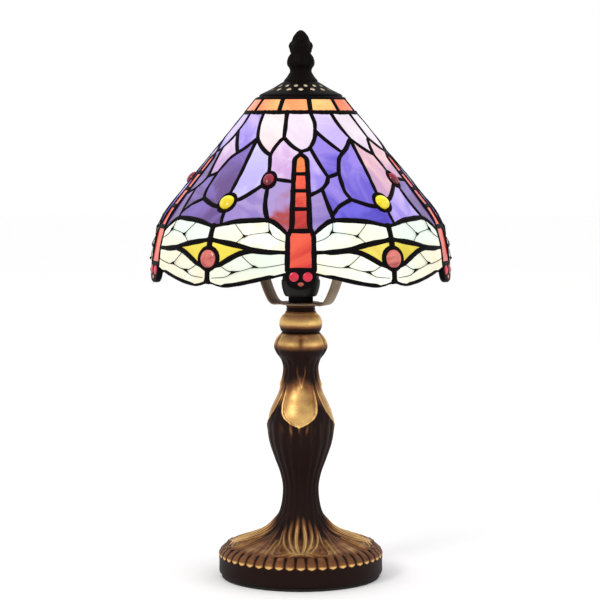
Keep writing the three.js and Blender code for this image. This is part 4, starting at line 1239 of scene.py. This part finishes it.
def makeCasting(name, low, high, sides, relief, inner):
    # an ornamented outer face along the casting's line, and a plain inner one
    outer, inner = np.array(smoothLine(castingLine, 0.55)), np.array(inner)
    rows = outer[(outer[:, 1] >= low - 1e-3) & (outer[:, 1] <= high + 1e-3)]
    angles = np.arange(sides) * 360.0 / sides
    angleGrid, radius = np.meshgrid(wrap(angles, 360.0), rows[:, 0])
    lift, rubAndSheen = relief(angleGrid, np.repeat(rows[:, 1:], sides, 1), radius)
    lean = np.gradient(rows, axis=0)
    lean /= np.linalg.norm(lean, axis=1)[:, None]
    outside = around(rows[:, :1] + lift * lean[:, 1:], angles, rows[:, 1:] - lift * lean[:, :1])
    within = around(inner[:, :1], angles, inner[:, 1:])
    points = np.concatenate([outside, within])
    mesh = toMesh(name, points.reshape(-1, 3), gridFaces(len(points), sides, True, True))
    store(mesh, "rubAndSheen", np.concatenate([rubAndSheen, np.zeros(within.shape[:2])]))
    addPiece(name, mesh, "gilt", "stand", ["base_casting"])


def makeTurned(name, outline, sides, finish, node, corners, stepSize=0.4, rubAndSheen=None, relief=None):
    # the outline's runs between corners are smoothed; a hollow ring lists its inner side last
    runs, start = [], 0
    for stop in sorted({*corners, len(outline) - 1}):
        runs += smoothLine(outline[start:stop + 1], stepSize)[int(start > 0):]
        start = stop
    points, faces = lathe(runs, sides, relief)
    mesh = toMesh(name, points, faces)
    if rubAndSheen is not None:
        store(mesh, "rubAndSheen", rubAndSheen(points[:, 2], np.hypot(points[:, 0], points[:, 1])))
    addPiece(name, mesh, finish, "stand", [node])


turned = {                    # radius, height
    "knop": [(12.2, 163.8), (13.0, 164.8), (14.0, 167.4), (14.3, 169.8), (13.9, 172.2), (12.8, 174.4), (11.2, 176.0),
             (10.3, 177.2), (10.0, 178.0), (5.4, 178.0), (5.4, 163.8)],
    "collar": [(9.1, 178.3), (9.6, 178.8), (9.6, 179.6), (9.2, 180.1), (9.6, 180.6), (9.6, 181.5), (9.1, 182.0),
               (5.3, 182.0), (5.3, 178.3)],
    "felt": [(0, 0), (52.6, 0), (53.0, 0.4), (53.0, 1.6), (52.6, 2.0), (0, 2.0)],
    "cup": [(5.4, 0), (10.2, 0), (11.2, 1.6), (12.3, 5), (12.8, 8), (12.8, 10.6), (12.2, 11.2)],   # from its low end
    "sleeveRidges": 12,
    "ridgePitch": 1.3,
    "ridgeDepth": 0.35,
    "sleeveFloor": 5.4,
}


def knopGiltAndHighlight(height, radius):
    # painted light on the knop's gilt: painted shade low down, a painted highlight above its middle, fading near the
    # top
    litGold = step(height, 165.4, 171.0) * (1 - 0.75 * step(height, 176.2, 177.8))
    return np.where(radius > 8.5, 0.03 + 0.87 * litGold, 0.0)


def collarRub(height, radius):
    return 0.25 * step(height, 180.2, 181.6)


def feltEdge(angle, height, radius):
    return -0.25 * (0.5 + 0.5 * np.sin(np.radians(angle * 37) + height * 3)) * step(radius, 52.4, 52.9)


def makeSocket():
    low, high = (corner[2] for corner in box("socket_base"))
    cup = [(radius, low + rise) for radius, rise in turned["cup"]] + [(12.2, high), (5.4, high)]
    makeTurned("socket_cup", cup, 96, "socket", "socket_base", (1, 5, 6, 7))
    low, high = (corner[2] for corner in box("socket_sleeve"))
    top = low + turned["sleeveFloor"]
    sleeve = [(1.6, low), (12.2, low), (12.2, low + 0.8), (12.8, low + 1.4)]
    for k in range(turned["sleeveRidges"]):
        sleeve.append((12.8 - turned["ridgeDepth"] * (k % 2), low + 2.4 + k * turned["ridgePitch"]))
    sleeve += [(12.8, high - 9), (12.8, high - 1.0), (12.3, high), (11.7, high), (11.5, high - 0.8)]
    sleeve += [(11.5, top), (1.6, top)]
    makeTurned("socket_sleeve_body", sleeve, 96, "socket", "socket_sleeve", range(1, len(sleeve) - 1))


harp = {
    "turn": -26.0,
    "width": 14.5,
    "thickness": 1.5,
    "edge": (0.5, 0.4),       # how much the strap's corners are rounded, across and through
    "side": [(0, 183.05), (12, 183.05), (18.8, 183.3), (23.2, 189.9), (27.1, 200.1), (29.6, 210.4), (31.3, 222.1),
             (32.1, 235.2), (32.1, 250), (31.2, 268), (29.2, 285), (26.1, 296.3), (22.1, 305.1), (17.4, 313.3),
             (12.9, 319.8), (9.0, 324.6), (6.2, 327.3), (3.0, 327.65), (0, 327.65)],
    "disc": [(5.2, 0), (13.0, 0), (13.5, 0.4), (13.5, 1.1), (13.0, 1.5), (5.2, 1.5)],      # over the strap's low face
}


def makeHarp():
    right = np.array(smoothLine(harp["side"], 2.5))
    loop = np.concatenate([right, right[-2:0:-1] * (-1, 1)])
    along = np.roll(loop, -1, 0) - np.roll(loop, 1, 0)
    along /= np.linalg.norm(along, axis=1)[:, None]
    half, thick, (side, through) = harp["width"] / 2, harp["thickness"] / 2, harp["edge"]
    section = [(half - side, -thick), (half, through - thick), (half, thick - through), (half - side, thick),
               (half * 0.45, thick + 0.02)]
    across, depth = np.array([(side - half, -thick)] + section + [(-a, d) for a, d in section[:0:-1]]).T
    x = loop[:, :1] + along[:, 1:] * depth
    z = loop[:, 1:] - along[:, :1] * depth
    cosine, sine = math.cos(math.radians(harp["turn"])), math.sin(math.radians(harp["turn"]))
    points = np.stack([x * cosine - across * sine, x * sine + across * cosine, z], -1)
    strap = points.reshape(-1, 3), gridFaces(len(loop), len(across), True, True)
    low = harp["side"][0][1] - thick
    disc = lathe([(radius, low + rise) for radius, rise in harp["disc"]], 72)
    addPiece("harp_strap", toMesh("harp_strap", *mergeParts([strap, disc])), "harp", "stand", ["harp"])


bulb = {
    "neck": [(8.0, 0), (8.1, 3), (9.4, 7), (13.2, 11)],      # radius, height over the glass's low end
    "middle": 28.1,
    "threadPitch": 2.82,
    "threadHeight": 0.24,
}


def makeBulb():
    low, high = box("bulb_glass")
    radius, low = high[0], low[2]
    centre = low + bulb["middle"]
    globe = [(r, low + rise) for r, rise in bulb["neck"]]
    globe += [(radius * math.cos(t), centre + radius * math.sin(t)) for t in np.radians(np.arange(-38, 90, 12))]
    globe = smoothLine([*globe, (0.01, centre + radius)], 1.6)[:-1]
    mesh = toMesh("bulb_globe", *lathe([(0, low), *globe, (0, centre + radius)], 64))
    addPiece("bulb_globe", mesh, "bulb", "bulb_body", ["bulb_glass", "bulb_filament"])
    low, high = (corner[2] for corner in box("bulb_base"))
    outline = [(0, low), (4.4, low), (6.6, low + 2.6), (6.6, low + 3.4)]
    outline += [(6.6, z) for z in np.arange(low + 3.8, high - 4.2, 0.35)]
    outline += [(6.6, high - 4), (7.6, high - 1.6), (8.2, high - 0.8), (8.2, high), (0, high)]

    def thread(angle, height, _):
        there = step(height, low + 3.2, low + 4.2) * (1 - step(height, high - 5, high - 4))
        return there * (bulb["threadHeight"] * wave(360 * height / bulb["threadPitch"] - angle) - 0.02)

    mesh = toMesh("bulb_screw", *lathe(outline, 64, thread))
    addPiece("bulb_screw", mesh, "brass", "bulb_body", ["bulb_base"])


cap = {
    "outer": [(11.2, 329.6), (13.8, 328.1), (17.2, 326.0), (20.6, 324.1), (24.3, 322.3), (26.8, 321.1), (27.4, 320.3),
              (27.3, 319.5)],
    "crown": [(10.7, 329.65), (3.6, 329.65), (3.6, 328.6), (10.3, 328.6)],
    "spigot": [(23.1, 321.9), (23.1, 316.3), (24.0, 316.3), (24.0, 321.2)],
    "wall": 1.1,
    "innerLight": 1.0,        # how brightly the painted lamplight glows on the inside
    "holes": 16,
    "rows": (1.75, 20.2, 1.4, 15.9),      # hole radius and circle, smaller hole radius and circle
    "drill": (325, 12),       # height of its middle, length
}


def capTree():
    # two rows of round holes cut through the cap, the second set between those of the first
    tree, given, result = newGroup("piercedCap", "GeometryNodeTree", {
        "Geometry": "Geometry", "Holes": 16, "Hole radius": 0.0, "Circle": 0.0, "Small radius": 0.0,
        "Small circle": 0.0, "Height": 0.0, "Depth": 0.0, "Material": "Material"}, {"Geometry": "Geometry"})
    cut = addNode(tree, "GeometryNodeMeshBoolean", {"Mesh 1": given["Geometry"]}, operation="DIFFERENCE",
                  solver="MANIFOLD")
    lift = addNode(tree, "ShaderNodeCombineXYZ", {"Z": given["Height"]}).outputs[0]
    for radius, circle, share in (("Hole radius", "Circle", 0.0), ("Small radius", "Small circle", 0.5)):
        ring = addNode(tree, "GeometryNodeMeshCircle", {"Vertices": given["Holes"], "Radius": given[circle]})
        part = maths(tree, "DIVIDE", share * 2 * math.pi, given["Holes"])
        turn = addNode(tree, "ShaderNodeCombineXYZ", {"Z": part})
        placed = addNode(tree, "GeometryNodeTransform", {
            "Geometry": ring.outputs[0], "Translation": lift, "Rotation": turn.outputs[0]})
        drill = addNode(tree, "GeometryNodeMeshCylinder", {
            "Vertices": 14, "Radius": given[radius], "Depth": given["Depth"]})
        drills = addNode(tree, "GeometryNodeInstanceOnPoints", {
            "Points": placed.outputs[0], "Instance": drill.outputs[0]})
        solid = addNode(tree, "GeometryNodeRealizeInstances", {"Geometry": drills.outputs[0]})
        tree.links.new(solid.outputs[0], cut.inputs["Mesh 2"])
    return endTree(tree, given, result, cut.outputs[0])


def makeCap():
    outer = [tuple(p) for p in smoothLine(cap["outer"][::-1], 0.8)]
    inner = [(r - cap["wall"] * 0.45, z - cap["wall"]) for r, z in outer[::-1] if z > 320.2]
    under, lip = [p for p in inner if p[0] < 22.9], [p for p in inner if p[0] > 25.0]
    solid = lathe(outer + cap["crown"] + under + cap["spigot"] + lip, 96)
    names = ("Hole radius", "Circle", "Small radius", "Small circle", "Height", "Depth")
    values = {name: value * mm for name, value in zip(names, cap["rows"] + cap["drill"])}
    values.update({"Holes": cap["holes"], "Material": finishes["cap"]})
    mesh = growMesh("cap_bell", toMesh("capSource", *solid), capTree(), values)
    place = np.array([vertex.co for vertex in mesh.vertices]) / mm
    radius = np.hypot(place[:, 0], place[:, 1])
    top = np.interp(radius, *np.array(cap["outer"]).T)
    # the faces under the bell get a painted lamplight glow
    inside = (place[:, 2] < top - cap["wall"] * 0.5) & (radius > 5) & (radius < 22.9)
    store(mesh, "lit", inside * cap["innerLight"])
    addPiece("cap_bell", mesh, None, "shade", ["shade_cap"])


finial = {
    "line": [(0, 330.2), (11.3, 329.75), (10.9, 330.6), (9.7, 332.0), (8.3, 334.0), (7.1, 336.3), (7.3, 338.2),
             (8.7, 340.2), (9.1, 342.6), (8.4, 345.6), (6.7, 348.4), (6.9, 350.6), (7.5, 352.7), (6.9, 354.6),
             (5.8, 355.9), (5.4, 357.4), (4.6, 359.4), (2.8, 361.8), (1.1, 363.0), (0, 363.4)],
    "tiers": [(336.0, 348.6, 0), (348.0, 356.2, 30), (355.6, 363.4, 0)],      # low, high, turn of its leaves
    "leaves": 6,
}


def finialLeaves(angle, height, radius):
    # tiers of pointed leaves, each turned half a leaf from the one below
    lift = np.zeros(radius.shape)
    for low, high, turn in finial["tiers"]:
        leaf = np.abs(wrap(angle + turn, 360.0 / finial["leaves"])) / (180.0 / finial["leaves"])
        rise = (height - low) / (high - low)
        there = step(rise, -0.02, 0.12) * (1 - step(rise, 0.94, 1.04))
        width = np.clip(1.08 - 0.75 * rise, 0.15, 1)
        lift += there * (0.75 * step(width - leaf, -0.12, 0.18) - 0.42) * np.clip(radius / 6, 0, 1)
        lift += there * 0.22 * bump(leaf, 0.1)
    return lift


def makeFinial():
    base, *side = finial["line"]
    solid = lathe([base, *smoothLine(side, 0.45)[:-1], side[-1]], 96, finialLeaves)
    addPiece("finial_leaves", toMesh("finial_leaves", *solid), "cap", "finial_body", ["finial"])


hardware = {                  # parts of the frame that are kept, and their finishes
        "ballast_ring": "iron", "bottom_washer": "steel", "bottom_nut": "steel", "lamp_pipe": "steel",
        "harp_locknut": "cap", "harp_stud": "brass", "socket_contact": "brass", "socket_screw_shell": "brass",
        "bulb_contact": "brass", "finial_insert": "brass", "cord_bushing": "socket", "bulb_filament": "filament"}


def finishHardware():
    for name, finish in hardware.items():
        materials = nodes[name].data.materials
        materials.clear()
        materials.append(finishes[finish])


def makeFloor():
    radius = studio["floorRadius"]
    points, faces = lathe([(0, -2), (radius, -2), (radius, 0), (0, 0)], 96)
    floor = addObject("floor", toMesh("floor", points, faces, smooth=False))
    material, tree, shader = newMaterial("paleFloor")
    pale, paler = ((*(value * share for value in studio["floorColour"]), 1) for share in (1, 1.01))
    cloud = noise(tree, objectPoint(tree), 3.0)
    connect(tree, shader, {"Base Color": mixColour(tree, cloud, pale, paler), "Roughness": 0.9})
    floor.data.materials.append(material)


makeCasting("foot_casting", 0, casting["split"], casting["footSides"], footRelief, footInner)
makeCasting("column_casting", casting["split"], 200, casting["columnSides"], columnRelief, columnInner)
makeTurned("neck_knop", turned["knop"], 120, "gilt", "neck_ring", (8, 9, 10), rubAndSheen=knopGiltAndHighlight)
makeTurned("collar", turned["collar"], 96, "gilt", "pipe_collar", (6, 7, 8), rubAndSheen=collarRub)
makeTurned("felt", turned["felt"], 160, "felt", "felt_pad", (1, 2, 3, 4), stepSize=2.0, relief=feltEdge)
makeSocket()
print("base made")
makeHarp()
makeBulb()
makeCap()
makeFinial()
finishHardware()
print("harp, bulb, cap and finial made")
makeFloor()
